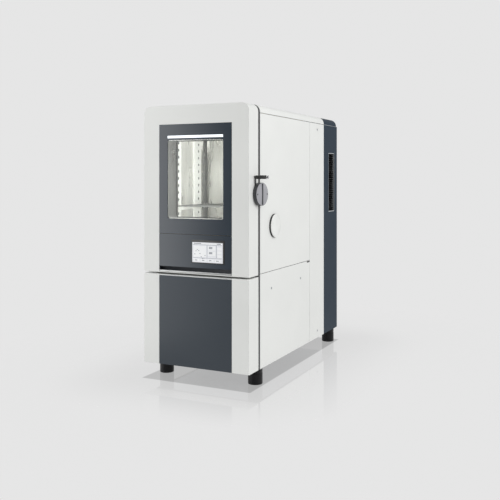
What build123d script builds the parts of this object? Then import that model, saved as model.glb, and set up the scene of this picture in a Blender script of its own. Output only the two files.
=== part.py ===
from build123d import *
import os
from math import cos, radians, sin

os.makedirs("parts", exist_ok=True)

# Working frame: X = 0 on the cabinet's centre plane, Y = 0 on the doors' front face, Z = 0 on the floor

# Overall sizes
body_width = 735.0
body_depth = 1563.0
body_height = 1703.0
foot_height = 100.0
roof_radius = 48.0
roof_band = 53.0
sheet = 2.0
flange = 12.0
seam = 3.0

# Feet and base
foot_radius = 45.0
foot_inset = 5.0
foot_front = 190.0
foot_from_back = 73.0
foot_waist = (62.0, 72.0)
foot_waist_radius = 26.0
foot_top_inset = 7.0
foot_chamfer = 3.0
pan_wall = 3.0
pan_height = 50.0
frame_tube = 30.0
frame_wall = 2.5
post_front_gap = 11.0
post_middle_gap = 13.0
post_back_gap = 15.0
post_top_gap = 10.0

# Doors
door_thickness = 130.0
door_gap = 18.0
door_wall = 3.0
inner_sheet = 4.0
split_low = 660.0
split_high = 671.0
panel_side = 113.0
panel_low = 711.0
panel_top = 116.0
panel_radius = 3.0
control_top = 912.0
glass_front = 1.0
glass_back = 7.0
fit = 0.3
edge_round = 2.5

# Window, light bar and display
window_side = 60.0
window_low = 1007.0
window_top = 213.0
window_radius = 12.0
tunnel_wall = 3.0
light_top = 186.0
light_height = 16.0
display_width = 213.0
display_low = 744.0
display_high = 868.0
display_depth = 25.0

# Insulated chamber
frame_thickness = 6.0
space_low = 873.0
space_top = 80.0
space_radius = 25.0
liner_depth = 676.0
insulation_side = 60.0
insulation_clearance = 3.5
insulation_wall = 80.0
roof_space = 18.0

# Service compartment
service_low = 150.0
service_high = 620.0
service_side = 67.5
service_radius = 10.0

# Side panel seams
upper_seam = 675.0
module_seam = 976.0
cover_depth = 298.0

# Rear cover, vents and connection recess
cover_wall = 3.0
cap_round = 30.0
vent_from_back = 66.0
vent_width = 129.0
vent_low = 1000.0
vent_top = 259.0
vent_frame = 6.0
slat_pitch = 18.0
slat_width = 16.0
slat_thickness = 2.0
slat_tilt = 40.0
grille_depth = 20.0
recess_half = 150.0
recess_low = 220.0
recess_high = 440.0
recess_depth = 60.0

# Hinges
hinge_offset = 13.0
knuckle_radius = 11.0
pin_radius = 6.0
running_fit = 0.05
hinge_height = 100.0
hinge_from_end = 110.0
leaf_thickness = 4.0
leaf_length = 66.0
service_hinges = (200.0, 560.0)

# Handle and latch
handle_y = 118.0
handle_z = 1159.0
disc_radius = 69.0
disc_back = 22.0
disc_thickness = 9.5
disc_round = 3.0
disc_tilt = 5.8
ridge_width = 13.0
ridge_height = 4.0
ridge_inset = 6.0
skirt_wall = 6.0
skirt_edge = 112.0
bearing_radius = 24.0
bearing_height = 6.5
spindle_radius = 8.0
spindle_depth = 6.0
lever_y = 75.0
arm_low = 47.0
arm_gap = 3.5
arm_thickness = 6.0
arm_width = 7.0
peg_z = 1261.0
peg_radius = 11.0
peg_reach = 93.0
peg_round = 3.0
keeper_distance = 46.0
stud_radius = 5.0
stud_length = 19.0
hook_gap = 1.0
hook_width = 8.0
hook_thickness = 8.0
hook_from_side = 7.5
hook_rest = -115.0
hook_sweep = 35.0
hook_arm = 14.0

# Cable port
port_y = 360.0
port_z = 956.0
port_radius = 60.0
port_wall = 2.0
port_rim = 13.0
port_cap_proud = 15.0
port_cap_round = 1.5
collar_thickness = 10.0
collar_proud = 1.0

# Inside the test space
rail_thickness = 8.0
rail_pitch = 46.4
rail_end_gap = 27.0
rail_first_hole = 28.0
hole_width = 18.0
hole_height = 16.0
rails = ((250.0, 312.0, 281.0), (484.0, 580.0, 544.0))
shelf_z = 1070.0
shelf_side = 26.0
shelf_front = 222.0
shelf_back = 640.0
runner_thickness = 3.0
runner_height = 24.0
runner_lip = 4.0
wire_radius = 3.0
thin_wire_radius = 1.5
wires = 25
duct_y = 650.0
duct_side = 18.0
duct_low = 27.0
duct_top = 23.0
duct_fold = 14.0
fan_top = 303.0
fan_radius = 150.0
fan_inlet = 136.0
fan_hub = 22.0
fan_blades = 10
fan_shaft = 10.0
shaft_bore = 20.0
impeller_y = (668.0, 715.0)
guard_rings = (42.0, 74.0, 106.0, 140.0)
guard_wire = 1.5
guard_bars = 3
guard_turn = 15.0
guard_stand = 3.0
guard_pad = 4.0
guard_stud = 2.5
motor_plate = 85.0
motor_stand = 22.0
motor_radius = 68.0
motor_length = 120.0
heater_rings = (728.0, 744.0)
heater_radius = 142.0
heater_wire = 5.0
coil_side = 62.0
coil_y = (745.0, 815.0)
coil_low = 32.0
coil_gap = 50.0
sensor_places = (150.0, 182.0)
sensor_top = 113.0
sensor_length = 54.0
sensor_radius = 5.0

# Machine space
condenser_from_back = 98.0
condenser_thickness = 70.0
condenser_side = 67.5
condenser_height = 544.0
condenser_fan_radius = 180.0
shroud_gap = 5.0
shroud_depth = 60.0
shroud_margin = 20.0
hub_reach = 50.0
hub_radius = 38.0
fin_thickness = 1.2
coil_tube_radius = 8.0
coil_plate = 4.0

# Derived places
half = body_width / 2
body_front = door_thickness + door_gap
shell_front = body_front + frame_thickness
insulation_half = half - sheet - flange - insulation_clearance
space_half = insulation_half - insulation_side
space_high = body_height - space_top
liner_back = shell_front + liner_depth
insulation_back = liner_back + sheet + insulation_wall
post_front = shell_front + post_front_gap
post_middle = insulation_back + post_middle_gap
service_half = half - service_side
roof_seam = body_height - roof_band
cover_seam = body_depth - cover_depth
panel_half = half - panel_side
panel_high = body_height - panel_top
window_half = panel_half - window_side
window_high = body_height - window_top
light_high = body_height - light_top
light_low = light_high - light_height
display_right = window_half
display_left = display_right - display_width
vent_back = body_depth - vent_from_back
vent_front = vent_back - vent_width
vent_high = body_height - vent_top
shelf_half = space_half - shelf_side
duct_half = space_half - duct_side
duct_z = (space_low + duct_low, space_high - duct_top)
fan_z = body_height - fan_top
coil_z = (space_low + coil_low, fan_z - fan_radius - coil_gap)
pan_floor = foot_height + pan_wall
hinge_x = -(half + hinge_offset)
hinge_y = door_thickness + door_gap / 2
chamber_hinges = (
    split_high + hinge_from_end,
    (split_high + body_height) / 2,
    body_height - hinge_from_end,
)
disc_x = half + disc_back
port_cap_radius = port_radius + port_rim
condenser_back = body_depth - condenser_from_back
condenser_front = condenser_back - condenser_thickness
condenser_half = half - condenser_side
condenser_high = vent_high
condenser_low = condenser_high - condenser_height
condenser_z = (condenser_low + condenser_high) / 2
x_low = hinge_x - knuckle_radius
x_high = half + peg_reach
to_origin = Location((-(x_low + x_high) / 2, -body_depth / 2, 0))


def save(piece, name):
    """Label a finished piece, move it to the object's origin and write its file."""
    piece.part.label = name
    placed = piece.part.moved(to_origin)
    placed.label = name
    export_step(placed, f"parts/{name}.step")


def slab(x, y, z, mode=Mode.ADD):
    """Add or cut a block given by its low and high values along each axis."""
    with Locations(((x[0] + x[1]) / 2, (y[0] + y[1]) / 2, (z[0] + z[1]) / 2)):
        Box(x[1] - x[0], y[1] - y[0], z[1] - z[0], mode=mode)


def rod_x(x, y, z, radius, mode=Mode.ADD):
    """Add or cut a round bar along X."""
    with Locations(((x[0] + x[1]) / 2, y, z)):
        Cylinder(radius, x[1] - x[0], rotation=(0, 90, 0), mode=mode)


def rod_y(x, y, z, radius, mode=Mode.ADD):
    """Add or cut a round bar along Y."""
    with Locations((x, (y[0] + y[1]) / 2, z)):
        Cylinder(radius, y[1] - y[0], rotation=(90, 0, 0), mode=mode)


def rod_z(x, y, z, radius, mode=Mode.ADD):
    """Add or cut a round bar along Z."""
    with Locations((x, y, (z[0] + z[1]) / 2)):
        Cylinder(radius, z[1] - z[0], mode=mode)


def arched(half_width, z, radius, y, mode=Mode.ADD):
    """Add or cut a block along Y whose two upper edges are rounded."""
    with BuildSketch(Plane.XZ.offset(-y[0])) as outline:
        with Locations((0, (z[0] + z[1]) / 2)):
            Rectangle(2 * half_width, z[1] - z[0])
        fillet(outline.vertices().group_by(Axis.Y)[-1], radius)
    extrude(outline.sketch, amount=-(y[1] - y[0]), mode=mode)


def rounded(x, z, radius, y, mode=Mode.ADD):
    """Add or cut a block along Y whose four long edges are rounded."""
    with BuildSketch(Plane.XZ.offset(-y[0])) as outline:
        with Locations(((x[0] + x[1]) / 2, (z[0] + z[1]) / 2)):
            RectangleRounded(x[1] - x[0], z[1] - z[0], radius)
    extrude(outline.sketch, amount=-(y[1] - y[0]), mode=mode)


def window_block(grow, y, mode):
    """Add or cut the window's outline, made larger all round by a given amount."""
    wide = window_half + grow
    rounded((-wide, wide), (window_low - grow, window_high + grow), window_radius + grow, y, mode)


def fin_block(half_width, y, z, pitch, tubes):
    """Add a finned coil: thin upright plates on round tubes between two end plates."""
    count = int(2 * half_width / pitch)
    with GridLocations(pitch, 0, count, 1):
        with Locations((0, (y[0] + y[1]) / 2, (z[0] + z[1]) / 2)):
            Box(fin_thickness, y[1] - y[0], z[1] - z[0])
    for row in range(tubes):
        height = z[0] + (z[1] - z[0]) * (row + 0.5) / tubes
        rod_x((-half_width, half_width), (y[0] + y[1]) / 2, height, coil_tube_radius)
    for side in (-1, 1):
        plate = sorted((side * (half_width - coil_plate), side * half_width))
        slab(plate, y, z)


# Base and feet
pan_y = (shell_front, body_depth - cover_wall)
with BuildPart() as base_pan:
    slab((-insulation_half, insulation_half), pan_y, (foot_height, foot_height + pan_height))
    inner_half = insulation_half - pan_wall
    inner_y = (pan_y[0] + pan_wall, pan_y[1] - pan_wall)
    inner_z = (pan_floor, foot_height + pan_height)
    slab((-inner_half, inner_half), inner_y, inner_z, Mode.SUBTRACT)
save(base_pan, "base_pan")

foot_x = half - foot_radius - foot_inset
with BuildPart() as levelling_feet:
    for foot_y in (foot_front, body_depth - foot_from_back):
        for side in (-1, 1):
            rod_z(side * foot_x, foot_y, (0, foot_waist[0]), foot_radius)
            rod_z(side * foot_x, foot_y, foot_waist, foot_waist_radius)
            rod_z(side * foot_x, foot_y, (foot_waist[1], foot_height), foot_radius - foot_top_inset)
    chamfer(levelling_feet.edges().filter_by(GeomType.CIRCLE).group_by(Axis.Z)[0], foot_chamfer)
save(levelling_feet, "levelling_feet")


def tube_bar(x, y, z, axis):
    """Add one square frame tube, open at both ends along the named axis."""
    slab(x, y, z)
    spans = [x, y, z]
    cut = [s if i == axis else (s[0] + frame_wall, s[1] - frame_wall) for i, s in enumerate(spans)]
    slab(*cut, Mode.SUBTRACT)


post_y = (post_front, post_middle, body_depth - cover_wall - frame_tube - post_back_gap)
insulation_low = space_low - sheet - insulation_wall
with BuildPart() as support_frame:
    for side in (-1, 1):
        post_outer = insulation_half - pan_wall
        post_x = sorted((side * (post_outer - frame_tube), side * post_outer))
        tube_bar(post_x, (post_y[0], post_y[0] + frame_tube), (pan_floor, insulation_low - frame_tube), 2)
        for rear in post_y[1:]:
            tube_bar(post_x, (rear, rear + frame_tube), (pan_floor, roof_seam - post_top_gap), 2)
        rail_y = (post_y[0], post_y[1])
        tube_bar(post_x, rail_y, (insulation_low - frame_tube, insulation_low), 1)
    cross_half = insulation_half - frame_tube - pan_wall
    for cross in (post_y[0], post_y[1] - frame_tube):
        cross_y = (cross, cross + frame_tube)
        tube_bar((-cross_half, cross_half), cross_y, (insulation_low - frame_tube, insulation_low), 0)
save(support_frame, "support_frame")

# Cabinet shell
with BuildPart() as front_frame:
    arched(half, (foot_height, body_height), roof_radius, (body_front, shell_front))
    opening = (body_front, shell_front)
    rounded((-space_half, space_half), (space_low, space_high), space_radius, opening, Mode.SUBTRACT)
    service_z = (service_low, service_high)
    rounded((-service_half, service_half), service_z, service_radius, opening, Mode.SUBTRACT)
save(front_frame, "front_frame")

liner_y = (shell_front, liner_back)
liner_x = space_half + sheet
liner_z = (space_low - sheet, space_high + sheet)
with BuildPart() as chamber_liner:
    rounded((-liner_x, liner_x), liner_z, space_radius + sheet, (shell_front, liner_back + sheet))
    rounded((-space_half, space_half), (space_low, space_high), space_radius, liner_y, Mode.SUBTRACT)
    port_cut = (space_half - space_radius, insulation_half + 1)
    rod_x(port_cut, port_y, port_z, port_radius + port_wall, Mode.SUBTRACT)
    rod_y(0, (liner_back - 1, liner_back + sheet + 1), fan_z, shaft_bore, Mode.SUBTRACT)
save(chamber_liner, "chamber_liner")

insulation_x = (-insulation_half, insulation_half)
insulation_z = (insulation_low, body_height - roof_space)
with BuildPart() as chamber_insulation:
    slab(insulation_x, (shell_front, insulation_back), insulation_z)
    rounded(
        (-liner_x, liner_x), liner_z, space_radius + sheet, (shell_front, liner_back + sheet), Mode.SUBTRACT
    )
    rod_x(port_cut, port_y, port_z, port_radius + port_wall, Mode.SUBTRACT)
    rod_y(0, (liner_back, insulation_back + 1), fan_z, shaft_bore, Mode.SUBTRACT)
save(chamber_insulation, "chamber_insulation")

roof_low = roof_seam + seam / 2
with BuildPart() as roof_panel:
    roof_y = (shell_front, cover_seam - seam / 2)
    arched(half, (roof_low, body_height), roof_radius, roof_y)
    inside = (roof_low - 100, body_height - sheet)
    arched(half - sheet, inside, roof_radius - sheet, roof_y, Mode.SUBTRACT)
save(roof_panel, "roof_panel")


def side_sheet(side, y, z):
    """Add one side panel: a sheet with its front and rear edges folded inwards."""
    outer = sorted((side * (half - sheet), side * half))
    fold = sorted((side * (half - sheet - flange), side * (half - sheet)))
    slab(outer, y, z)
    slab(fold, (y[0], y[0] + sheet), z)
    slab(fold, (y[1] - sheet, y[1]), z)


gap = seam / 2
front_y = (shell_front, module_seam - gap)
upper_z = (upper_seam + gap, roof_seam - gap)
lower_z = (foot_height, upper_seam - gap)
rear_y = (module_seam + gap, cover_seam - gap)
with BuildPart() as side_panels_left:
    side_sheet(-1, front_y, upper_z)
    side_sheet(-1, front_y, lower_z)
    side_sheet(-1, rear_y, (foot_height, roof_seam - gap))
save(side_panels_left, "side_panels_left")

with BuildPart() as side_panels_right:
    side_sheet(1, front_y, upper_z)
    side_sheet(1, front_y, lower_z)
    side_sheet(1, rear_y, (foot_height, roof_seam - gap))
    rod_x((half - sheet - 1, half + 1), port_y, port_z, port_radius + port_wall, Mode.SUBTRACT)
save(side_panels_right, "side_panels_right")

cover_front = cover_seam + gap
with BuildPart() as rear_cover:
    slab((-half, half), (cover_front, body_depth), (foot_height, roof_seam - gap))
    upright = rear_cover.edges().filter_by(Axis.Z).group_by(Axis.Y)[-1]
    fillet(upright, cover_wall + 3)
    cavity = half - cover_wall
    cavity_z = (foot_height - 1, roof_seam)
    slab((-cavity, cavity), (cover_front - 1, body_depth - cover_wall), cavity_z, Mode.SUBTRACT)
    slab((-half - 1, half + 1), (vent_front, vent_back), (vent_low, vent_high), Mode.SUBTRACT)
    recess_x = (-recess_half, recess_half)
    back = (body_depth - cover_wall - 1, body_depth + 1)
    slab(recess_x, back, (recess_low, recess_high), Mode.SUBTRACT)
save(rear_cover, "rear_cover")

with BuildPart() as rear_cap_core:
    core_y = (cover_front - 1, body_depth - cover_wall)
    core_z = (roof_low - 100, body_height - cover_wall)
    arched(half - cover_wall, core_z, roof_radius - cover_wall, core_y)
    core_rim = rear_cap_core.faces().sort_by(Axis.Y)[-1].edges()
    fillet(core_rim.sort_by(Axis.Z)[1:], cap_round - cover_wall)
with BuildPart() as rear_cap:
    arched(half, (roof_low - 100, body_height), roof_radius, (cover_front, body_depth))
    cap_rim = rear_cap.faces().sort_by(Axis.Y)[-1].edges()
    fillet(cap_rim.sort_by(Axis.Z)[1:], cap_round)
    add(rear_cap_core.part, mode=Mode.SUBTRACT)
    split(bisect_by=Plane.XY.offset(roof_low), keep=Keep.TOP)
save(rear_cap, "rear_cap")

with BuildPart() as vent_grilles:
    grille_y = (vent_front + fit, vent_back - fit)
    grille_z = (vent_low + fit, vent_high - fit)
    slat_count = int((vent_high - vent_low - 2 * vent_frame) / slat_pitch)
    for side in (-1, 1):
        depth = sorted((side * (half - grille_depth), side * (half - 1)))
        slab(depth, grille_y, grille_z)
        inner_y = (grille_y[0] + vent_frame, grille_y[1] - vent_frame)
        inner_z = (grille_z[0] + vent_frame, grille_z[1] - vent_frame)
        slab(depth, inner_y, inner_z, Mode.SUBTRACT)
        for row in range(slat_count):
            height = (vent_low + vent_high) / 2 + (row - (slat_count - 1) / 2) * slat_pitch
            with Locations((side * (half - grille_depth / 2), (vent_front + vent_back) / 2, height)):
                slat_length = inner_y[1] - inner_y[0] + 2
                Box(slat_width, slat_length, slat_thickness, rotation=(0, side * slat_tilt, 0))
save(vent_grilles, "vent_grilles")

box_y = (body_depth - cover_wall - recess_depth, body_depth - cover_wall)
with BuildPart() as connection_box:
    wall = sheet
    slab((-recess_half - wall, recess_half + wall), box_y, (recess_low - wall, recess_high + wall))
    slab(recess_x, (box_y[0] + wall, box_y[1]), (recess_low, recess_high), Mode.SUBTRACT)
save(connection_box, "connection_box")

switch_x = -80.0
switch_z = 330.0
switch_half = 36.0
switch_corner = 6.0
switch_thickness = 12.0
switch_floor = 3.0
knob_shaft = 7.0
knob_radius = 25.0
knob_plate = 14.0
knob_ridge = 30.0
switch_back = box_y[0] + wall
switch_face = switch_back + switch_thickness
with BuildPart() as main_switch_body:
    plate_x = (switch_x - switch_half, switch_x + switch_half)
    slab(plate_x, (switch_back, switch_face), (switch_z - switch_half, switch_z + switch_half))
    fillet(main_switch_body.edges().filter_by(Axis.Y), switch_corner)
    shaft_y = (switch_back + switch_floor, switch_face + 1)
    rod_y(switch_x, shaft_y, switch_z, knob_shaft + running_fit, Mode.SUBTRACT)
save(main_switch_body, "main_switch_body")

with BuildPart() as main_switch_knob:
    rod_y(switch_x, (switch_back + switch_floor + fit, switch_face + fit), switch_z, knob_shaft)
    rod_y(switch_x, (switch_face + fit, switch_face + knob_plate), switch_z, knob_radius)
    ridge_x = (switch_x - knob_shaft, switch_x + knob_shaft)
    ridge_z = (switch_z - knob_radius + 1, switch_z + knob_radius - 1)
    slab(ridge_x, (switch_face + knob_plate, switch_face + knob_ridge), ridge_z)
save(main_switch_knob, "main_switch_knob")

fitting_places = ((80.0, 370.0, 22.0, 9.0), (45.0, 275.0, 17.0, 8.0), (110.0, 275.0, 17.0, 8.0))
fitting_nut = 12.0
fitting_length = 40.0
with BuildPart() as supply_fittings:
    for fit_x, fit_z, hex_radius, bore in fitting_places:
        with BuildSketch(Plane.XZ.offset(-switch_back)) as hexagon:
            with Locations((fit_x, fit_z)):
                RegularPolygon(hex_radius, 6)
        extrude(hexagon.sketch, amount=-fitting_nut)
        stem_y = (switch_back + fitting_nut, switch_back + fitting_length)
        rod_y(fit_x, stem_y, fit_z, hex_radius * 0.7)
        rod_y(fit_x, (stem_y[0] - 2, stem_y[1] + 1), fit_z, bore, Mode.SUBTRACT)
save(supply_fittings, "supply_fittings")

rear_screw_y = (module_seam + cover_seam) / 2 + 8.5
screw_places = (
    (321.0, 568.0),
    (805.0, 570.0),
    (rear_screw_y, roof_seam - 45),
    (rear_screw_y, foot_height + 50),
)
screw_radius = 6.0
screw_height = 1.5
catch_height = 2.0
catch_y = (module_seam - 51, module_seam - 3)
catch_z = (upper_seam - 13, upper_seam - 2)
with BuildPart() as panel_fasteners:
    for side in (-1, 1):
        head = sorted((side * half, side * (half + screw_height)))
        for screw_y, screw_z in screw_places:
            rod_x(head, screw_y, screw_z, screw_radius)
        catch = sorted((side * half, side * (half + catch_height)))
        slab(catch, catch_y, catch_z)
save(panel_fasteners, "panel_fasteners")

# Cable port
with BuildPart() as port_tube:
    rod_x((space_half, half), port_y, port_z, port_radius + port_wall)
    rod_x((space_half - 1, half + 1), port_y, port_z, port_radius, Mode.SUBTRACT)
save(port_tube, "port_tube")

with BuildPart() as port_collar:
    rod_x((half, half + collar_thickness), port_y, port_z, port_cap_radius + collar_proud)
    rod_x((half - 1, half + collar_thickness + 1), port_y, port_z, port_radius, Mode.SUBTRACT)
save(port_collar, "port_collar")

cap_inner = half + collar_thickness + fit
with BuildPart() as port_plug:
    rod_x((space_half + 2, cap_inner), port_y, port_z, port_radius - fit)
    rod_x((cap_inner, half + port_cap_proud), port_y, port_z, port_cap_radius)
    fillet(port_plug.edges().filter_by(GeomType.CIRCLE).group_by(Axis.X)[-1], port_cap_round)
save(port_plug, "port_plug")

# Inside the test space
rail_z = (space_low + rail_end_gap, space_high - rail_end_gap)
hole_count = int((rail_z[1] - rail_z[0] - 20) / rail_pitch)
hole_depth = rail_thickness - sheet - 1
with BuildPart() as shelf_supports:
    for side in (-1, 1):
        rail_x = sorted((side * (space_half - rail_thickness), side * space_half))
        for rail_front, rail_back, hole_y in rails:
            slab(rail_x, (rail_front, rail_back), rail_z)
            channel = sorted((side * (space_half - rail_thickness + sheet), side * space_half))
            slab(channel, (rail_front + sheet, rail_back - sheet), rail_z, Mode.SUBTRACT)
            for row in range(hole_count):
                height = rail_z[0] + rail_first_hole + row * rail_pitch
                hole_x = sorted((side * (space_half - rail_thickness - 1), side * (space_half - hole_depth)))
                hole_span = (hole_y - hole_width / 2, hole_y + hole_width / 2)
                hole_rise = (height - hole_height / 2, height + hole_height / 2)
                slab(hole_x, hole_span, hole_rise, Mode.SUBTRACT)
        rail_face = space_half - rail_thickness
        runner = sorted((side * (shelf_half - runner_lip), side * rail_face))
        web = sorted((side * (rail_face - runner_thickness), side * rail_face))
        slab(runner, (rails[0][0], rails[1][1]), (shelf_z - runner_thickness, shelf_z))
        slab(web, (rails[0][0], rails[1][1]), (shelf_z - runner_height, shelf_z))
save(shelf_supports, "shelf_supports")

wire_z = shelf_z + fit + wire_radius
wire_half = shelf_half - wire_radius
wire_y = (shelf_front + wire_radius, shelf_back - wire_radius)
with BuildPart() as wire_shelf:
    for edge in wire_y:
        rod_x((-wire_half, wire_half), edge, wire_z, wire_radius)
    for side in (-1, 1):
        rod_y(side * wire_half, wire_y, wire_z, wire_radius)
    with Locations((wire_half, wire_y[0], wire_z), (wire_half, wire_y[1], wire_z)):
        Sphere(wire_radius)
    with Locations((-wire_half, wire_y[0], wire_z), (-wire_half, wire_y[1], wire_z)):
        Sphere(wire_radius)
    rod_x((-wire_half, wire_half), (wire_y[0] + wire_y[1]) / 2, wire_z - 1, wire_radius - 1)
    for wire in range(1, wires):
        rod_y(-wire_half + wire * 2 * wire_half / wires, wire_y, wire_z + 1, thin_wire_radius)
save(wire_shelf, "wire_shelf")

with BuildPart() as air_duct_panel:
    slab((-duct_half, duct_half), (duct_y, duct_y + sheet), duct_z)
    for side in (-1, 1):
        fold = sorted((side * (duct_half - sheet), side * duct_half))
        slab(fold, (duct_y, duct_y + duct_fold), duct_z)
        for stand_z in (duct_z[0] + 20, duct_z[1] - 20):
            rod_y(side * (duct_half - 20), (duct_y + sheet, liner_back), stand_z, 5)
    rod_y(0, (duct_y - 1, duct_y + sheet + 1), fan_z, fan_inlet, Mode.SUBTRACT)
    guard_reach = guard_rings[-1]
    guard_front = duct_y - guard_stand - 2 * guard_wire
    with BuildSketch(Plane.XZ.offset(-guard_front)) as guard:
        with Locations((0, fan_z)):
            for ring in reversed(guard_rings):
                Circle(ring + guard_wire)
                Circle(ring - guard_wire, mode=Mode.SUBTRACT)
            for bar in range(guard_bars):
                Rectangle(2 * guard_reach, 2 * guard_wire, rotation=guard_turn + bar * 180 / guard_bars)
            with PolarLocations(guard_reach, 2 * guard_bars, guard_turn):
                Circle(guard_pad)
    extrude(guard.sketch, amount=-2 * guard_wire)
    for stud in range(2 * guard_bars):
        turn = radians(guard_turn + stud * 180 / guard_bars)
        stud_span = (guard_front + guard_wire, duct_y + sheet / 2)
        rod_y(guard_reach * cos(turn), stud_span, fan_z + guard_reach * sin(turn), guard_stud)
save(air_duct_panel, "air_duct_panel")

motor_front = insulation_back + motor_stand
with BuildPart() as circulation_fan:
    rod_y(0, (impeller_y[1] - sheet, impeller_y[1]), fan_z, fan_radius)
    rod_y(0, (impeller_y[1], motor_front + 12), fan_z, fan_shaft)
    with Locations(Plane((0, (impeller_y[0] + impeller_y[1]) / 2, fan_z), x_dir=(1, 0, 0), z_dir=(0, -1, 0))):
        with PolarLocations(fan_radius * 0.72, fan_blades):
            Box(fan_radius * 0.52, sheet, impeller_y[1] - impeller_y[0], rotation=(0, 0, 35))
    rod_y(0, (impeller_y[0], impeller_y[0] + sheet), fan_z, fan_radius)
    rod_y(0, (impeller_y[0] - 1, impeller_y[0] + sheet), fan_z, fan_radius * 0.62, Mode.SUBTRACT)
    rod_y(0, impeller_y, fan_z, fan_hub)
save(circulation_fan, "circulation_fan")

with BuildPart() as fan_motor:
    plate_z = (fan_z - motor_plate, fan_z + motor_plate)
    slab((-motor_plate, motor_plate), (insulation_back, insulation_back + 6), plate_z)
    rod_y(0, (insulation_back, motor_front), fan_z, motor_radius - 13)
    rod_y(0, (insulation_back - 1, motor_front), fan_z, 2 * shaft_bore, Mode.SUBTRACT)
    rod_y(0, (motor_front, motor_front + motor_length), fan_z, motor_radius)
    fillet(fan_motor.edges().filter_by(GeomType.CIRCLE).group_by(Axis.Y)[-1], 12)
    rod_y(0, (motor_front - 1, motor_front + 14), fan_z, fan_shaft + running_fit, Mode.SUBTRACT)
save(fan_motor, "fan_motor")

with BuildPart() as evaporator_coil:
    fin_block(space_half - coil_side, coil_y, coil_z, 16, 6)
save(evaporator_coil, "evaporator_coil")

with BuildPart() as heater_coil:
    for heater_y in heater_rings:
        with Locations((0, heater_y, fan_z)):
            Torus(heater_radius, heater_wire, rotation=(90, 0, 0))
    for heater_x in (-6, 6):
        rod_y(heater_x, (heater_rings[0], liner_back), fan_z + heater_radius, heater_wire)
save(heater_coil, "heater_coil")

with BuildPart() as climate_sensors:
    sensor_z = space_high - sensor_top
    sensor_tip = duct_y - sensor_length
    for probe_x in sensor_places:
        rod_y(probe_x, (sensor_tip, duct_y), sensor_z, sensor_radius)
        rod_y(probe_x, (duct_y - 5, duct_y), sensor_z, 2 * sensor_radius)
        with Locations((probe_x, sensor_tip, sensor_z)):
            Sphere(sensor_radius)
save(climate_sensors, "climate_sensors")


# Machine space
def compressor(x, y, radius, height):
    """Add one hermetic compressor: a can with domed ends on a footed plate."""
    plate = radius + 12
    slab((x - plate, x + plate), (y - plate, y + plate), (pan_floor + 18, pan_floor + 23))
    for foot_dx in (-1, 1):
        for foot_dy in (-1, 1):
            rod_z(x + foot_dx * (plate - 14), y + foot_dy * (plate - 14), (pan_floor, pan_floor + 18), 12)
    can_low = pan_floor + 23
    with BuildPart(mode=Mode.PRIVATE) as can:
        rod_z(x, y, (can_low, can_low + height), radius)
        fillet(can.edges().filter_by(GeomType.CIRCLE).group_by(Axis.Z)[-1], radius * 0.55)
    add(can.part)
    slab((x + radius - 6, x + radius + 20), (y - 30, y + 30), (can_low + 60, can_low + 140))


compressor_tops = ((-170.0, 640.0, 88.0, 290.0), (150.0, 720.0, 78.0, 260.0))
with BuildPart() as compressors:
    for place in compressor_tops:
        compressor(*place)
save(compressors, "compressors")


def pipe(points, bend, radius):
    """Add one copper pipe: straight runs joined by round bends."""
    with BuildLine() as route:
        FilletPolyline(*points, radius=bend)
    with BuildSketch(Plane(route.line @ 0, z_dir=route.line % 0)) as section:
        Circle(radius)
    sweep(section.sketch, path=route.line)


high_top = pan_floor + 23 + compressor_tops[0][3]
low_top = pan_floor + 23 + compressor_tops[1][3]
pipe_x = 20 - condenser_half
with BuildPart() as refrigerant_pipes:
    pipe(
        [
            (compressor_tops[0][0], compressor_tops[0][1], high_top),
            (compressor_tops[0][0], compressor_tops[0][1], 690),
            (pipe_x, compressor_tops[0][1], 690),
            (pipe_x, condenser_front - 70, 690),
            (pipe_x, condenser_front - 70, condenser_low + 35),
            (pipe_x, condenser_front, condenser_low + 35),
        ],
        25,
        8,
    )
    pipe(
        [
            (compressor_tops[1][0], compressor_tops[1][1], low_top),
            (compressor_tops[1][0], compressor_tops[1][1], 720),
            (compressor_tops[1][0], insulation_back + 90, 720),
            (compressor_tops[1][0], insulation_back + 90, 1050),
            (compressor_tops[1][0], insulation_back, 1050),
        ],
        25,
        10,
    )
save(refrigerant_pipes, "refrigerant_pipes")

with BuildPart() as condenser_coil:
    condenser_z_span = (condenser_low, condenser_high)
    fin_block(condenser_half, (condenser_front, condenser_back), condenser_z_span, 20, 9)
save(condenser_coil, "condenser_coil")

shroud_radius = condenser_fan_radius + shroud_gap
shroud_y = (condenser_front - shroud_depth, condenser_front)
hub_front = shroud_y[0] - hub_reach
with BuildPart() as condenser_shroud:
    plate_z = (condenser_z - shroud_radius - shroud_margin, condenser_z + shroud_radius + shroud_margin)
    slab((-condenser_half, condenser_half), (condenser_front - 3, condenser_front), plate_z)
    rod_y(0, shroud_y, condenser_z, shroud_radius + 3)
    rod_y(0, (shroud_y[0] - 1, shroud_y[1] + 1), condenser_z, shroud_radius, Mode.SUBTRACT)
    for turn in (0, 120, 240):
        with Locations((0, shroud_y[0] + 3, condenser_z)):
            with Locations(Rotation(0, turn, 0)):
                with Locations((0, 0, (shroud_radius + 20) / 2)):
                    Box(16, 6, shroud_radius - 17)
    rod_y(0, (hub_front, shroud_y[0] + 6), condenser_z, hub_radius + 4)
    rod_y(0, (hub_front + 20, shroud_y[0] + 7), condenser_z, 6 + running_fit, Mode.SUBTRACT)
save(condenser_shroud, "condenser_shroud")

with BuildPart() as condenser_fan:
    hub_y = (shroud_y[0] + 6 + fit, shroud_y[0] + 40)
    rod_y(0, (hub_front + 22, hub_y[0] + 1), condenser_z, 6)
    rod_y(0, hub_y, condenser_z, hub_radius)
    blade_plane = Plane((0, (hub_y[0] + hub_y[1]) / 2, condenser_z), x_dir=(1, 0, 0), z_dir=(0, -1, 0))
    with Locations(blade_plane):
        with PolarLocations(105, 5):
            Box(condenser_fan_radius - hub_radius, 62, 2.5, rotation=(28, 0, 0))
save(condenser_fan, "condenser_fan")

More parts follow.
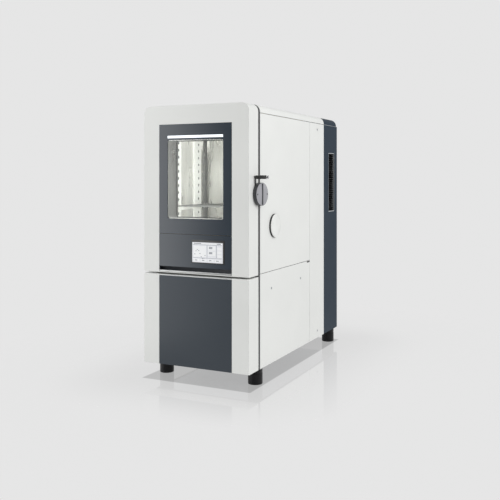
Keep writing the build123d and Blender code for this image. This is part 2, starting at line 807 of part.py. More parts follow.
boiler_x = 175.0
boiler_y = 300.0
boiler_radius = 90.0
boiler_flange = (520.0, 534.0)
boiler_top = 560.0
with BuildPart() as humidifier:
    rod_z(boiler_x, boiler_y, (pan_floor, boiler_flange[0]), boiler_radius)
    rod_z(boiler_x, boiler_y, boiler_flange, boiler_radius + 8)
    rod_z(boiler_x, boiler_y, (boiler_flange[1], boiler_top), boiler_radius / 3)
    fillet(humidifier.edges().filter_by(GeomType.CIRCLE).group_by(Axis.Z)[-1], 5)
save(humidifier, "humidifier")

tank_x = (-300.0, -70.0)
tank_y = (200.0, 430.0)
tank_top = 590.0
tank_corner = 20.0
cap_radius = 32.0
cap_height = 18.0
with BuildPart() as water_tank:
    slab(tank_x, tank_y, (pan_floor, tank_top))
    fillet(water_tank.edges().filter_by(Axis.Z), tank_corner)
    rod_z(tank_x[1] - 60, tank_y[0] + 50, (tank_top, tank_top + cap_height), cap_radius)
save(water_tank, "water_tank")

plate_front = post_y[1] + frame_tube
module_front = plate_front + 3
with BuildPart() as electrical_backplate:
    slab((-insulation_half, insulation_half), (plate_front, module_front), (200, 640))
save(electrical_backplate, "electrical_backplate")

drive_box = ((-260.0, -60.0), 95.0, (430.0, 610.0))
supply_box = ((-20.0, 60.0), 110.0, (430.0, 580.0))
contactors = 4
contactor_pitch = 52.0
terminals = 20
terminal_pitch = 27.0
with BuildPart() as electrical_modules:
    for module_x, module_depth, module_z in (drive_box, supply_box):
        slab(module_x, (module_front, module_front + module_depth), module_z)
    for contactor in range(contactors):
        left = 100 + contactor * contactor_pitch
        slab((left, left + 45), (module_front, module_front + 80), (450, 540))
        slab((left + 6, left + 39), (module_front + 80, module_front + 92), (465, 525))
    for terminal in range(terminals):
        left = drive_box[0][0] + terminal * terminal_pitch
        slab((left, left + terminal_pitch - 2), (module_front, module_front + 42), (290, 340))
save(electrical_modules, "electrical_modules")


def hinge_leaf(low, high, knuckle, inward):
    """Add one hinge leaf on the left side, its plate in front of the pin or behind it."""
    leaf_reach = (knuckle_radius + 1, knuckle_radius + leaf_length)
    plate_y = sorted(hinge_y + inward * reach for reach in leaf_reach)
    web_y = sorted((hinge_y, plate_y[0] if inward > 0 else plate_y[1]))
    slab((-half - leaf_thickness, -half), plate_y, (low, high))
    slab((-half - leaf_thickness, -half - 0.5), web_y, knuckle)
    rod_z(hinge_x, hinge_y, knuckle, knuckle_radius)


def hinge_set(places, lower, inward):
    """Add every leaf of one body, with its bore over the pin."""
    for centre in places:
        low = centre - hinge_height / 2
        high = centre + hinge_height / 2
        knuckle = (low, centre) if lower else (centre + 0.5, high)
        hinge_leaf(low, high, knuckle, inward)
        bore = pin_radius if lower else pin_radius + running_fit
        rod_z(hinge_x, hinge_y, (knuckle[0] - 1, knuckle[1] + 1), bore, Mode.SUBTRACT)


with BuildPart() as frame_hinge_leaves:
    hinge_set(chamber_hinges + service_hinges, True, 1)
save(frame_hinge_leaves, "frame_hinge_leaves")

with BuildPart() as hinge_pins:
    for centre in chamber_hinges + service_hinges:
        rod_z(hinge_x, hinge_y, (centre - hinge_height / 2, centre + hinge_height / 2 - 2), pin_radius)
save(hinge_pins, "hinge_pins")

with BuildPart() as door_hinge_leaves:
    hinge_set(chamber_hinges, False, -1)
save(door_hinge_leaves, "door_hinge_leaves")

with BuildPart() as service_hinge_leaves:
    hinge_set(service_hinges, False, -1)
save(service_hinge_leaves, "service_hinge_leaves")

# Chamber door
shell_back = door_thickness - inner_sheet
with BuildPart() as door_shell:
    arched(half, (split_high, body_height), roof_radius, (0, shell_back))
    front_rim = door_shell.faces().sort_by(Axis.Y)[0].edges()
    fillet(front_rim, edge_round)
    pocket_z = (split_high + door_wall, body_height - door_wall)
    arched(half - door_wall, pocket_z, roof_radius - door_wall, (door_wall, shell_back), Mode.SUBTRACT)
    grip_low = split_high + 5
    slab((-panel_half, panel_half), (-1, door_wall + 1), (grip_low, panel_high), Mode.SUBTRACT)
save(door_shell, "door_shell")

bay_back = 60.0
foam_half = half - door_wall
with BuildPart() as door_insulation:
    foam_z = (control_top, body_height - door_wall)
    arched(foam_half, foam_z, roof_radius - door_wall, (door_wall, shell_back))
    slab((-foam_half, foam_half), (bay_back, shell_back), (split_high + door_wall, control_top))
    slab((-panel_half, panel_half), (door_wall - 1, glass_back), (control_top - 1, panel_high), Mode.SUBTRACT)
    window_block(tunnel_wall, (door_wall, shell_back), Mode.SUBTRACT)
save(door_insulation, "door_insulation")

with BuildPart() as door_inner_panel:
    inset = 5.0
    inner_z = (split_high + inset, body_height - inset)
    arched(half - inset, inner_z, roof_radius - inset, (shell_back, door_thickness))
    window_block(0, (shell_back - 1, door_thickness + 1), Mode.SUBTRACT)
save(door_inner_panel, "door_inner_panel")

seal_width = 18.0
seal_x = space_half + 55
seal_z = (space_low - 55, space_high + 55)
with BuildPart() as door_seal:
    seal_y = (door_thickness, body_front - fit)
    rounded((-seal_x, seal_x), seal_z, 30, seal_y)
    hole_x = seal_x - seal_width
    hole_z = (seal_z[0] + seal_width, seal_z[1] - seal_width)
    rounded((-hole_x, hole_x), hole_z, 30 - seal_width, seal_y, Mode.SUBTRACT)
save(door_seal, "door_seal")

with BuildPart() as window_tunnel:
    window_block(tunnel_wall, (glass_back, shell_back), Mode.ADD)
    window_block(0, (glass_back, shell_back), Mode.SUBTRACT)
save(window_tunnel, "window_tunnel")

trim_half = panel_half - fit
with BuildPart() as glass_surround:
    surround_z = (control_top + 1, panel_high - fit)
    rounded((-trim_half, trim_half), surround_z, panel_radius, (glass_front, glass_back))
    window_block(0, (glass_front, glass_back), Mode.SUBTRACT)
    slot_y = (glass_front - 1, glass_back + 1)
    slab((-window_half, window_half), slot_y, (light_low, light_high), Mode.SUBTRACT)
save(glass_surround, "glass_surround")

with BuildPart() as window_panes:
    window_block(-fit, (glass_front + 1, glass_back - 1), Mode.ADD)
    window_block(-fit, (shell_back - 8, shell_back - 2), Mode.ADD)
save(window_panes, "window_panes")

with BuildPart() as light_bar:
    light_x = window_half - fit
    rounded((-light_x, light_x), (light_low + fit, light_high - fit), 2, (glass_front + 0.5, glass_back))
save(light_bar, "light_bar")

with BuildPart() as control_panel:
    control_z = (panel_low + fit, control_top - 1)
    rounded((-trim_half, trim_half), control_z, panel_radius, (glass_front, glass_back))
    cut_y = (glass_front - 1, glass_back + 1)
    slab((display_left, display_right), cut_y, (display_low, display_high), Mode.SUBTRACT)
save(control_panel, "control_panel")

with BuildPart() as display_screen:
    screen_x = (display_left + fit, display_right - fit)
    slab(screen_x, (glass_front + 0.5, display_depth), (display_low + fit, display_high - fit))
save(display_screen, "display_screen")

grip_depth = 36.0
grip_lip = 10.0
with BuildPart() as door_grip:
    slab((-trim_half, trim_half), (0.5, grip_depth), (grip_low + fit, panel_low))
    hollow_x = (-trim_half + 3, trim_half - 3)
    slab(hollow_x, (0, grip_depth - 3), (grip_low + grip_lip, panel_low - 3), Mode.SUBTRACT)
save(door_grip, "door_grip")

# Handle
with BuildPart() as handle_bearing:
    rod_x((half, half + bearing_height), handle_y, handle_z, bearing_radius)
    bore_x = (half - 1, half + bearing_height + 1)
    rod_x(bore_x, handle_y, handle_z, spindle_radius + running_fit, Mode.SUBTRACT)
save(handle_bearing, "handle_bearing")

arm_x = (half + arm_gap, half + arm_gap + arm_thickness)
arm_y = (lever_y - arm_width / 2, lever_y + arm_width / 2)
with BuildPart() as handle_lever:
    slab(arm_x, arm_y, (handle_z + arm_low, peg_z))
    rod_x((arm_x[0], x_high), lever_y, peg_z, peg_radius)
    fillet(handle_lever.edges().filter_by(GeomType.CIRCLE).group_by(Axis.X)[-1], peg_round)
save(handle_lever, "handle_lever")

face_normal = (cos(radians(disc_tilt)), -sin(radians(disc_tilt)), 0)
face_centre = (disc_x + disc_thickness, handle_y, handle_z)
disc_face = Plane(origin=face_centre, x_dir=(0, 0, 1), z_dir=face_normal)
with BuildPart() as handle_disc:
    rod_x((arm_x[0], disc_x + 3 * disc_thickness), handle_y, handle_z, disc_radius)
    split(bisect_by=disc_face, keep=Keep.BOTTOM)
    fillet(handle_disc.faces().sort_by(Axis.X)[-1].edges(), disc_round)
    rod_x((arm_x[0] - 1, disc_x), handle_y, handle_z, disc_radius - skirt_wall, Mode.SUBTRACT)
    cut_off = (skirt_edge, handle_y + disc_radius + 1)
    open_z = (handle_z - disc_radius - 1, handle_z + disc_radius + 1)
    slab((arm_x[0] - 1, disc_x), cut_off, open_z, Mode.SUBTRACT)
    rod_x((disc_x - 1, disc_x + spindle_depth), handle_y, handle_z, spindle_radius, Mode.SUBTRACT)
    slab(arm_x, arm_y, (handle_z + arm_low - 6, handle_z + disc_radius), Mode.SUBTRACT)
    with BuildSketch(disc_face) as ridge:
        SlotOverall(2 * (disc_radius - ridge_inset), ridge_width)
    extrude(ridge.sketch, amount=ridge_height)
save(handle_disc, "handle_disc")

hook_x = half + hook_from_side
hook_inner = keeper_distance + stud_radius + hook_gap
hook_outer = hook_inner + hook_width
with BuildPart() as handle_spindle:
    rod_x((half + 0.5, disc_x + spindle_depth), handle_y, handle_z, spindle_radius)
    with BuildSketch(Plane.YZ.offset(hook_x)) as hook:
        with Locations(Location((handle_y, handle_z, 0), (0, 0, hook_rest))):
            with Locations((hook_outer / 2 - 2, 0)):
                Rectangle(hook_outer - 4, hook_arm)
        with BuildLine():
            start = Vector(handle_y, handle_z)
            inner_arc = CenterArc(start, hook_inner, hook_rest, hook_sweep)
            outer_arc = CenterArc(start, hook_outer, hook_rest, hook_sweep)
            Line(inner_arc @ 0, outer_arc @ 0)
            Line(inner_arc @ 1, outer_arc @ 1)
        make_face()
    extrude(hook.sketch, amount=hook_thickness)
save(handle_spindle, "handle_spindle")

keeper_y = handle_y + keeper_distance
with BuildPart() as latch_keeper:
    slab((half, half + 2.5), (keeper_y - 12, keeper_y + 16), (handle_z - 22, handle_z + 22))
    rod_x((half, half + stud_length), keeper_y, handle_z, stud_radius)
save(latch_keeper, "latch_keeper")

# Service door
recess_floor = 8.0
service_top = split_low
with BuildPart() as service_door_shell:
    slab((-half, half), (0, door_thickness), (foot_height, service_top))
    service_rim = service_door_shell.faces().sort_by(Axis.Y)[0].edges()
    fillet(service_rim, edge_round)
    back_x = half - door_wall
    back_z = (foot_height + door_wall, service_top - door_wall)
    slab((-back_x, back_x), (recess_floor + door_wall, door_thickness), back_z, Mode.SUBTRACT)
    recess_z = (foot_height - 1, service_top + 1)
    slab((-panel_half, panel_half), (-1, recess_floor), recess_z, Mode.SUBTRACT)
save(service_door_shell, "service_door_shell")

trim_height = 7.0
with BuildPart() as service_door_front:
    service_z = (foot_height + 1, service_top - trim_height - 0.5)
    slab((-trim_half, trim_half), (glass_front, recess_floor), service_z)
save(service_door_front, "service_door_front")

with BuildPart() as service_door_trim:
    trim_z = (service_top - trim_height, service_top)
    slab((-trim_half, trim_half), (0, recess_floor), trim_z)
    top_front = service_door_trim.edges().filter_by(Axis.X).group_by(Axis.Z)[-1].sort_by(Axis.Y)[0]
    chamfer(top_front, 5)
save(service_door_trim, "service_door_trim")
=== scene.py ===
import logging
import math
from contextlib import contextmanager
from dataclasses import dataclass, field
from enum import Enum
from typing import Callable, Iterator, Sequence

import bpy
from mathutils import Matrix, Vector


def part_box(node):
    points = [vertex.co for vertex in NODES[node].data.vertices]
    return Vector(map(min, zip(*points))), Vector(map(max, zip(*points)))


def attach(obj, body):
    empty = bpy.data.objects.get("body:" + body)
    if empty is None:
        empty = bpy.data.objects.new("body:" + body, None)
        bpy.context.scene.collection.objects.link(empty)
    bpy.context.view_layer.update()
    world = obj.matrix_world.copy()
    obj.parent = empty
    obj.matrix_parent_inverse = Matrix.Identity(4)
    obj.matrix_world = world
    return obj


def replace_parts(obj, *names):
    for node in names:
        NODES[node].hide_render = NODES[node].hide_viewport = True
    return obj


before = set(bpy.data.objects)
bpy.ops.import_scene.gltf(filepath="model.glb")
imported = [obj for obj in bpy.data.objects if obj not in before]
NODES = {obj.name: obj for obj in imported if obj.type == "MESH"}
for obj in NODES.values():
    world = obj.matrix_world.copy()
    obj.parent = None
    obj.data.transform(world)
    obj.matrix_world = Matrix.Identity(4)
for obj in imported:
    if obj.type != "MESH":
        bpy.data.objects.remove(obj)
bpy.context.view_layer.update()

MM = 0.001

logging.basicConfig(level=logging.INFO, format="%(message)s")
log = logging.getLogger("chamber")

Colour = tuple[float, float, float]
Triple = tuple[float, float, float]
Span = tuple[float, float]
Socket = bpy.types.NodeSocket
Piece = bpy.types.Object

COAT_ROUGHNESS = 0.04
LOWEST_ROUGHNESS = 0.02
GLASS_IOR = 1.45
PATCH_EDGES: Span = (0.3, 0.7)
DUST_COLOUR = (0.42, 0.40, 0.37, 1.0)
SMOOTH_ANGLE = 40.0


class Grain(Enum):
    """How the fine surface of a finish looks."""

    POWDER = "powder"
    BRUSHED = "brushed"
    STREAKED = "streaked"
    MOULDED = "moulded"
    RUBBED = "rubbed"
    SMOOTH = "smooth"
    FOAMED = "foamed"
    CAST = "cast"


@dataclass(frozen=True)
class GrainLook:
    """Scales of one kind of grain.

    Args:
        fine: size of the fine relief, in cycles per metre.
        broad: size of the tone and gloss patches, in cycles per metre.
        depth: height of the relief, in metres.
        tone: how far the colour drifts from patch to patch.
        gloss: how far the roughness drifts from patch to patch.
        stretch: how the relief is drawn out along X, Y and Z.
    """

    fine: float
    broad: float
    depth: float
    tone: float
    gloss: float
    stretch: Triple = (1.0, 1.0, 1.0)


GRAINS: dict[Grain, GrainLook] = {
    Grain.POWDER: GrainLook(900.0, 3.0, 0.00004, 0.018, 0.06),
    Grain.BRUSHED: GrainLook(420.0, 4.0, 0.00003, 0.07, 0.12, (1.0, 1.0, 0.012)),
    Grain.STREAKED: GrainLook(380.0, 9.0, 0.00003, 0.20, 0.25, (1.0, 1.0, 0.22)),
    Grain.MOULDED: GrainLook(1400.0, 12.0, 0.00005, 0.05, 0.08),
    Grain.RUBBED: GrainLook(700.0, 25.0, 0.00012, 0.25, 0.15),
    Grain.SMOOTH: GrainLook(60.0, 5.0, 0.000004, 0.03, 0.03),
    Grain.FOAMED: GrainLook(380.0, 15.0, 0.0006, 0.18, 0.05),
    Grain.CAST: GrainLook(500.0, 20.0, 0.00025, 0.20, 0.15),
}


class Shelf:
    """A shader tree under work: adds nodes and joins them."""

    def __init__(self, tree: bpy.types.NodeTree) -> None:
        """Start on an empty tree."""
        self.tree = tree

    def add(self, kind: str, values: dict[str, object] | None = None, **settings: object) -> bpy.types.Node:
        """Add one node.

        Args:
            kind: the node's type, such as ShaderNodeMath.
            values: values of its inputs, by name.
            **settings: attributes to set on it.

        Returns:
            The new node.
        """
        node = self.tree.nodes.new(kind)
        for key, value in settings.items():
            setattr(node, key, value)
        for key, value in (values or {}).items():
            node.inputs[key].default_value = value
        return node

    def join(self, source: Socket, target: Socket) -> None:
        """Link an output to an input."""
        self.tree.links.new(source, target)

    def span(
        self,
        source: Socket,
        low: float,
        high: float,
        start: float = 0.0,
        end: float = 1.0,
        smooth: bool = False,
    ) -> Socket:
        """Turn one span of a value into another.

        Args:
            source: the value.
            low: what the span's start becomes.
            high: what its end becomes.
            start: where the span starts.
            end: where it ends.
            smooth: whether it eases in and out.

        Returns:
            The new value.
        """
        values = {"From Min": start, "From Max": end, "To Min": low, "To Max": high}
        kind = "SMOOTHSTEP" if smooth else "LINEAR"
        node = self.add("ShaderNodeMapRange", values, interpolation_type=kind)
        self.join(source, node.inputs["Value"])
        return node.outputs["Result"]

    def math(self, kind: str, first: Socket, second: float | Socket) -> Socket:
        """Join two values by an operation.

        Args:
            kind: the operation's name, such as MULTIPLY.
            first: the first value.
            second: a socket or a plain number.

        Returns:
            The result's socket.
        """
        node = self.add("ShaderNodeMath", operation=kind)
        self.join(first, node.inputs[0])
        if isinstance(second, (int, float)):
            node.inputs[1].default_value = second
        else:
            self.join(second, node.inputs[1])
        return node.outputs[0]

    def split(self, vector: Socket) -> bpy.types.Node:
        """Split a vector into its X, Y and Z.

        Args:
            vector: the vector.

        Returns:
            The node whose outputs they are.
        """
        parts = self.add("ShaderNodeSeparateXYZ")
        self.join(vector, parts.inputs[0])
        return parts

    def blend(self, share: Socket, first: Socket, second: Socket) -> Socket:
        """Mix two shaders.

        Args:
            share: 0 for the first shader alone, 1 for the second.
            first: the first shader.
            second: the second shader.

        Returns:
            The mixed shader.
        """
        node = self.add("ShaderNodeMixShader")
        for place, source in enumerate((share, first, second)):
            self.join(source, node.inputs[place])
        return node.outputs["Shader"]

    def show(self, shader: Socket, kind: str = "ShaderNodeOutputMaterial") -> None:
        """Send a shader to the tree's output node."""
        self.join(shader, self.add(kind).inputs["Surface"])


def start_material(name: str) -> tuple[bpy.types.Material, Shelf]:
    """Make a material whose tree is empty.

    Args:
        name: the material's name.

    Returns:
        The material and its tree.
    """
    material = bpy.data.materials.new(name)
    material.use_nodes = True
    material.node_tree.nodes.clear()
    return material, Shelf(material.node_tree)


def new_group(name: str, inputs: Sequence[tuple[str, str, float]], outputs: Sequence[str]) -> Shelf:
    """Make an empty shader node group with named sockets.

    Args:
        name: the group's name.
        inputs: name, socket type and starting value of each input.
        outputs: names of the outputs, all plain values.

    Returns:
        The group, ready to be filled.
    """
    tree = bpy.data.node_groups.new(name, "ShaderNodeTree")
    for label, kind, value in inputs:
        socket = tree.interface.new_socket(label, in_out="INPUT", socket_type=kind)
        if kind == "NodeSocketFloat":
            socket.default_value = value
    for label in outputs:
        tree.interface.new_socket(label, in_out="OUTPUT", socket_type="NodeSocketFloat")
    return Shelf(tree)


def surface_grain_group() -> bpy.types.NodeTree:
    """Build the grain that every finish uses: a fine relief and broad patches.

    Returns:
        The group, with the outputs Relief and Patches.
    """
    shelf = new_group(
        "surface_grain",
        [
            ("Vector", "NodeSocketVector", 0.0),
            ("Fine", "NodeSocketFloat", 800.0),
            ("Broad", "NodeSocketFloat", 5.0),
        ],
        ["Relief", "Patches"],
    )
    start = shelf.add("NodeGroupInput")
    end = shelf.add("NodeGroupOutput")
    fine = shelf.add("ShaderNodeTexNoise", {"Detail": 3.0, "Roughness": 0.6}, noise_dimensions="3D")
    broad = shelf.add("ShaderNodeTexNoise", {"Detail": 4.0}, noise_dimensions="3D")
    for node, scale in ((fine, "Fine"), (broad, "Broad")):
        shelf.join(start.outputs["Vector"], node.inputs["Vector"])
        shelf.join(start.outputs[scale], node.inputs["Scale"])
    shelf.join(fine.outputs["Fac"], end.inputs["Relief"])
    shelf.join(shelf.span(broad.outputs["Fac"], 0.0, 1.0, *PATCH_EDGES), end.inputs["Patches"])
    return shelf.tree


def settled_dust_group() -> bpy.types.NodeTree:
    """Build the faint dust that gathers towards the floor.

    Returns:
        The group, with the output Mask: 1 where dust lies, 0 where it's clean.
    """
    shelf = new_group(
        "settled_dust",
        [("Vector", "NodeSocketVector", 0.0), ("Reach", "NodeSocketFloat", 0.5)],
        ["Mask"],
    )
    start = shelf.add("NodeGroupInput")
    end = shelf.add("NodeGroupOutput")
    parts = shelf.split(start.outputs["Vector"])
    height = shelf.math("DIVIDE", parts.outputs["Z"], start.outputs["Reach"])
    noise = shelf.add("ShaderNodeTexNoise", {"Scale": 22.0, "Detail": 6.0})
    shelf.join(start.outputs["Vector"], noise.inputs["Vector"])
    mask = shelf.math("MULTIPLY", shelf.span(height, 1.0, 0.0, smooth=True), noise.outputs["Fac"])
    shelf.join(mask, end.inputs["Mask"])
    return shelf.tree


GRAIN_GROUP = surface_grain_group()
DUST_GROUP = settled_dust_group()


@dataclass(frozen=True)
class Finish:
    """One finish, and how to make its material.

    Args:
        name: the material's name.
        colour: the colour as it's written, linear.
        roughness: from 0, mirror, to 1, matt.
        grain: the kind of fine surface.
        metal: 1 for bare metal.
        coat: weight of a clear coat over it.
        specular: strength of the plain reflection.
        dust: how much settled dust shows low down.
        glow: strength of its own light.
        relief: multiplies the grain's depth.
        stretch: replaces the grain's own stretch.
    """

    name: str
    colour: Colour
    roughness: float
    grain: Grain = Grain.SMOOTH
    metal: float = 0.0
    coat: float = 0.0
    specular: float = 0.5
    dust: float = 0.0
    glow: float = 0.0
    relief: float = 1.0
    stretch: Triple | None = None

    def build(self) -> bpy.types.Material:
        """Make the finish's material, once.

        Returns:
            The material.
        """
        kept = bpy.data.materials.get(self.name)
        if kept is not None:
            return kept
        material, shelf = start_material(self.name)
        look = GRAINS[self.grain]
        spot = shelf.add("ShaderNodeTexCoord").outputs["Object"]
        mapping = shelf.add("ShaderNodeMapping", {"Scale": self.stretch or look.stretch})
        shelf.join(spot, mapping.inputs["Vector"])
        scales = {"Fine": look.fine, "Broad": look.broad}
        grain = shelf.add("ShaderNodeGroup", scales, node_tree=GRAIN_GROUP)
        shelf.join(mapping.outputs["Vector"], grain.inputs["Vector"])
        values = {
            "Metallic": self.metal,
            "Coat Weight": self.coat,
            "Coat Roughness": COAT_ROUGHNESS,
            "Specular IOR Level": self.specular,
        }
        if self.glow > 0.0:
            values |= {"Emission Color": (*self.colour, 1.0), "Emission Strength": self.glow}
        shader = shelf.add("ShaderNodeBsdfPrincipled", values)
        tones = {"A": self.shade(1.0 - look.tone), "B": self.shade(1.0 + look.tone)}
        tint = shelf.add("ShaderNodeMix", tones, data_type="RGBA")
        shelf.join(grain.outputs["Patches"], tint.inputs["Factor"])
        colour = tint.outputs["Result"]
        if self.dust > 0.0:
            colour = self.dusted(shelf, spot, colour)
        shelf.join(colour, shader.inputs["Base Color"])
        drift = look.gloss * self.roughness
        rough = (max(self.roughness - drift, LOWEST_ROUGHNESS), min(self.roughness + drift, 1.0))
        shelf.join(shelf.span(grain.outputs["Patches"], *rough), shader.inputs["Roughness"])
        bump = shelf.add("ShaderNodeBump", {"Strength": 1.0, "Distance": look.depth * self.relief})
        shelf.join(grain.outputs["Relief"], bump.inputs["Height"])
        shelf.join(bump.outputs["Normal"], shader.inputs["Normal"])
        shelf.show(shader.outputs["BSDF"])
        return material

    def shade(self, factor: float) -> tuple[float, float, float, float]:
        """Make the finish's colour lighter or darker.

        Args:
            factor: more than 1 for lighter.

        Returns:
            The colour, with full opacity.
        """
        red, green, blue = (min(part * factor, 1.0) for part in self.colour)
        return red, green, blue, 1.0

    def dusted(self, shelf: Shelf, spot: Socket, colour: Socket) -> Socket:
        """Lay settled dust over a colour.

        Args:
            shelf: the tree under work.
            spot: the point on the surface.
            colour: the clean colour.

        Returns:
            The dusted colour's socket.
        """
        dust = shelf.add("ShaderNodeGroup", node_tree=DUST_GROUP)
        shelf.join(spot, dust.inputs["Vector"])
        over = shelf.add("ShaderNodeMix", {"B": DUST_COLOUR}, data_type="RGBA")
        shelf.join(shelf.math("MULTIPLY", dust.outputs["Mask"], self.dust), over.inputs["Factor"])
        shelf.join(colour, over.inputs["A"])
        return over.outputs["Result"]


@dataclass(frozen=True)
class PaneFinish:
    """Clear glass that lets lamps through.

    Args:
        name: the material's name.
        tint: the colour of what is seen through it.
        roughness: from 0, clear, to 1, frosted.
    """

    name: str
    tint: Colour
    roughness: float

    def build(self) -> bpy.types.Material:
        """Make the pane's material, once.

        Returns:
            The material.
        """
        kept = bpy.data.materials.get(self.name)
        if kept is not None:
            return kept
        material, shelf = start_material(self.name)
        colour = (*self.tint, 1.0)
        values = {
            "Base Color": colour,
            "Roughness": self.roughness,
            "IOR": GLASS_IOR,
            "Transmission Weight": 1.0,
        }
        glass = shelf.add("ShaderNodeBsdfPrincipled", values)
        clear = shelf.add("ShaderNodeBsdfTransparent", {"Color": colour})
        path = shelf.add("ShaderNodeLightPath")
        lit = shelf.math("MAXIMUM", path.outputs["Is Shadow Ray"], path.outputs["Is Diffuse Ray"])
        shelf.show(shelf.blend(lit, glass.outputs["BSDF"], clear.outputs["BSDF"]))
        return material


WHITE_PAINT = Finish("white_powder_paint", (0.80, 0.81, 0.79), 0.38, Grain.POWDER, dust=0.05)
DOOR_PAINT = Finish("white_door_paint", (0.78, 0.79, 0.77), 0.32, Grain.POWDER, coat=0.15)
SLATE_PAINT = Finish(
    "slate_powder_paint", (0.020, 0.035, 0.054), 0.5, Grain.POWDER, specular=0.12, dust=0.03
)
SLATE_GLOSS = Finish("slate_gloss_paint", (0.022, 0.032, 0.044), 0.30, Grain.POWDER, coat=0.12)
FRAME_PAINT = Finish("grey_frame_paint", (0.22, 0.225, 0.23), 0.45, Grain.POWDER)
PRINTED_GLASS = Finish("back_printed_glass", (0.036, 0.047, 0.061), 0.06, Grain.SMOOTH, coat=0.3)
STAINLESS = Finish("brushed_stainless", (0.72, 0.71, 0.69), 0.24, Grain.BRUSHED, metal=1.0)
POLISHED = Finish("polished_stainless", (0.80, 0.79, 0.77), 0.12, Grain.BRUSHED, metal=1.0, relief=0.4)
# paler, less metallic copy of the stainless for the shelf rails: partly a satin finish, partly painted
# light that makes the rails read bright
SATIN_AND_PAINTED_LIGHT = Finish("satin_stainless_painted_light", (0.92, 0.91, 0.88), 0.42, Grain.BRUSHED, metal=0.35, relief=0.5)
LINER = Finish("streaked_stainless", (0.70, 0.69, 0.655), 0.30, Grain.STREAKED, metal=0.72)
# darker copy of the stainless for the window tunnel: painted shade
REVEAL = Finish("shaded_stainless", (0.36, 0.36, 0.355), 0.34, Grain.STREAKED, metal=0.8)
ZINC = Finish("zinc_plated_steel", (0.50, 0.52, 0.54), 0.36, Grain.CAST, metal=1.0, relief=0.2)
FOAM = Finish("rigid_foam", (0.78, 0.70, 0.48), 0.9, Grain.FOAMED)
SEAL_RUBBER = Finish("door_seal_rubber", (0.030, 0.031, 0.033), 0.6, Grain.RUBBED)
FOOT_RUBBER = Finish("foot_rubber", (0.005, 0.005, 0.006), 0.40, Grain.MOULDED, specular=0.3)
SILICONE = Finish("white_silicone", (0.80, 0.81, 0.79), 0.42, Grain.MOULDED)
LIGHT_STRIP = Finish("lit_diffuser", (0.90, 0.95, 1.0), 0.4, Grain.SMOOTH, glow=0.62)
SCREEN = Finish("screen_glass", (0.72, 0.73, 0.76), 0.10, Grain.SMOOTH, coat=0.3, glow=0.22)
SCREEN_LINE = Finish("screen_line", (0.20, 0.22, 0.26), 0.2, Grain.SMOOTH)
SCREEN_PALE = Finish("screen_field", (0.84, 0.85, 0.86), 0.2, Grain.SMOOTH, glow=0.15)
HANDLE_GREY = Finish("handle_grey_plastic", (0.35, 0.35, 0.375), 0.34, Grain.MOULDED)
BLACK_PLASTIC = Finish("black_plastic", (0.016, 0.016, 0.018), 0.35, Grain.MOULDED)
DARK_PLASTIC = Finish("dark_handle_plastic", (0.045, 0.048, 0.053), 0.38, Grain.MOULDED)
GRIP_DARK = Finish("grip_channel_dark", (0.020, 0.024, 0.032), 0.5, Grain.MOULDED)
GRIP_METAL = Finish(
    "grip_lip_metal", (0.46, 0.47, 0.47), 0.30, Grain.BRUSHED, metal=0.6, stretch=(0.02, 1, 1)
)
CHROME = Finish("chrome_end_cap", (0.82, 0.82, 0.83), 0.08, Grain.SMOOTH, metal=1.0)
TANK_PLASTIC = Finish("tank_plastic", (0.76, 0.78, 0.77), 0.42, Grain.MOULDED, dust=0.1)
COPPER = Finish("copper_pipe", (0.72, 0.36, 0.24), 0.28, Grain.CAST, metal=1.0, relief=0.15)
FIN_ALUMINIUM = Finish("fin_aluminium", (0.78, 0.78, 0.78), 0.3, Grain.BRUSHED, metal=1.0)
# pale metal for the vent rims and the column's seam strips: a painted highlight along those edges
PALE_EDGE_HIGHLIGHT = Finish("pale_edge_highlight_metal", (0.52, 0.55, 0.57), 0.3, Grain.SMOOTH, metal=0.5)
# near-black with almost no reflection: the louvres' own black, darkened further to paint the shade inside
# the vent slots
VENT_BLACK_AND_SHADE = Finish("vent_black_and_shade", (0.002, 0.002, 0.003), 0.7, Grain.MOULDED, specular=0.05)
BLACK_IRON = Finish("black_iron_paint", (0.022, 0.023, 0.026), 0.4, Grain.CAST)
MODULE_GREY = Finish("module_grey_plastic", (0.33, 0.35, 0.36), 0.5, Grain.MOULDED)
SWITCH_YELLOW = Finish("switch_yellow_plastic", (0.82, 0.56, 0.02), 0.3, Grain.MOULDED)
SWITCH_RED = Finish("switch_red_plastic", (0.60, 0.025, 0.02), 0.28, Grain.MOULDED)
LAMP = Finish("lamp_diffuser", (1.0, 0.98, 0.94), 0.4, Grain.SMOOTH, glow=1.6)
SHELF_WIRE = Finish("shelf_wire", (0.16, 0.16, 0.155), 0.35, Grain.BRUSHED, metal=0.7)
CLEAR_PANE = PaneFinish("clear_pane", (0.94, 0.96, 0.95), 0.0)


def dress(finish: Finish | PaneFinish, *nodes: str) -> None:
    """Give carried-over CAD nodes a finish.

    Args:
        finish: the finish.
        *nodes: the nodes' names.
    """
    for node in nodes:
        mesh = NODES[node].data
        mesh.materials.clear()
        mesh.materials.append(finish.build())
        log.info("dressed %s in %s", node, finish.name)


def pick(*pieces: Piece) -> None:
    """Select only these pieces, the first of them active."""
    bpy.ops.object.select_all(action="DESELECT")
    for piece in pieces:
        piece.select_set(True)
    bpy.context.view_layer.objects.active = pieces[0]


@contextmanager
def editing(piece: Piece, mode: str = "FACE") -> Iterator[None]:
    """Work on one piece in edit mode.

    Args:
        piece: the piece to edit.
        mode: what is picked there, VERT, EDGE or FACE.

    Yields:
        Nothing.
    """
    pick(piece)
    bpy.ops.object.mode_set(mode="EDIT")
    bpy.ops.mesh.select_mode(type=mode)
    yield
    bpy.ops.object.mode_set(mode="OBJECT")


def pick_all() -> None:
    """Select all of the piece in edit mode."""
    bpy.ops.mesh.select_all(action="SELECT")


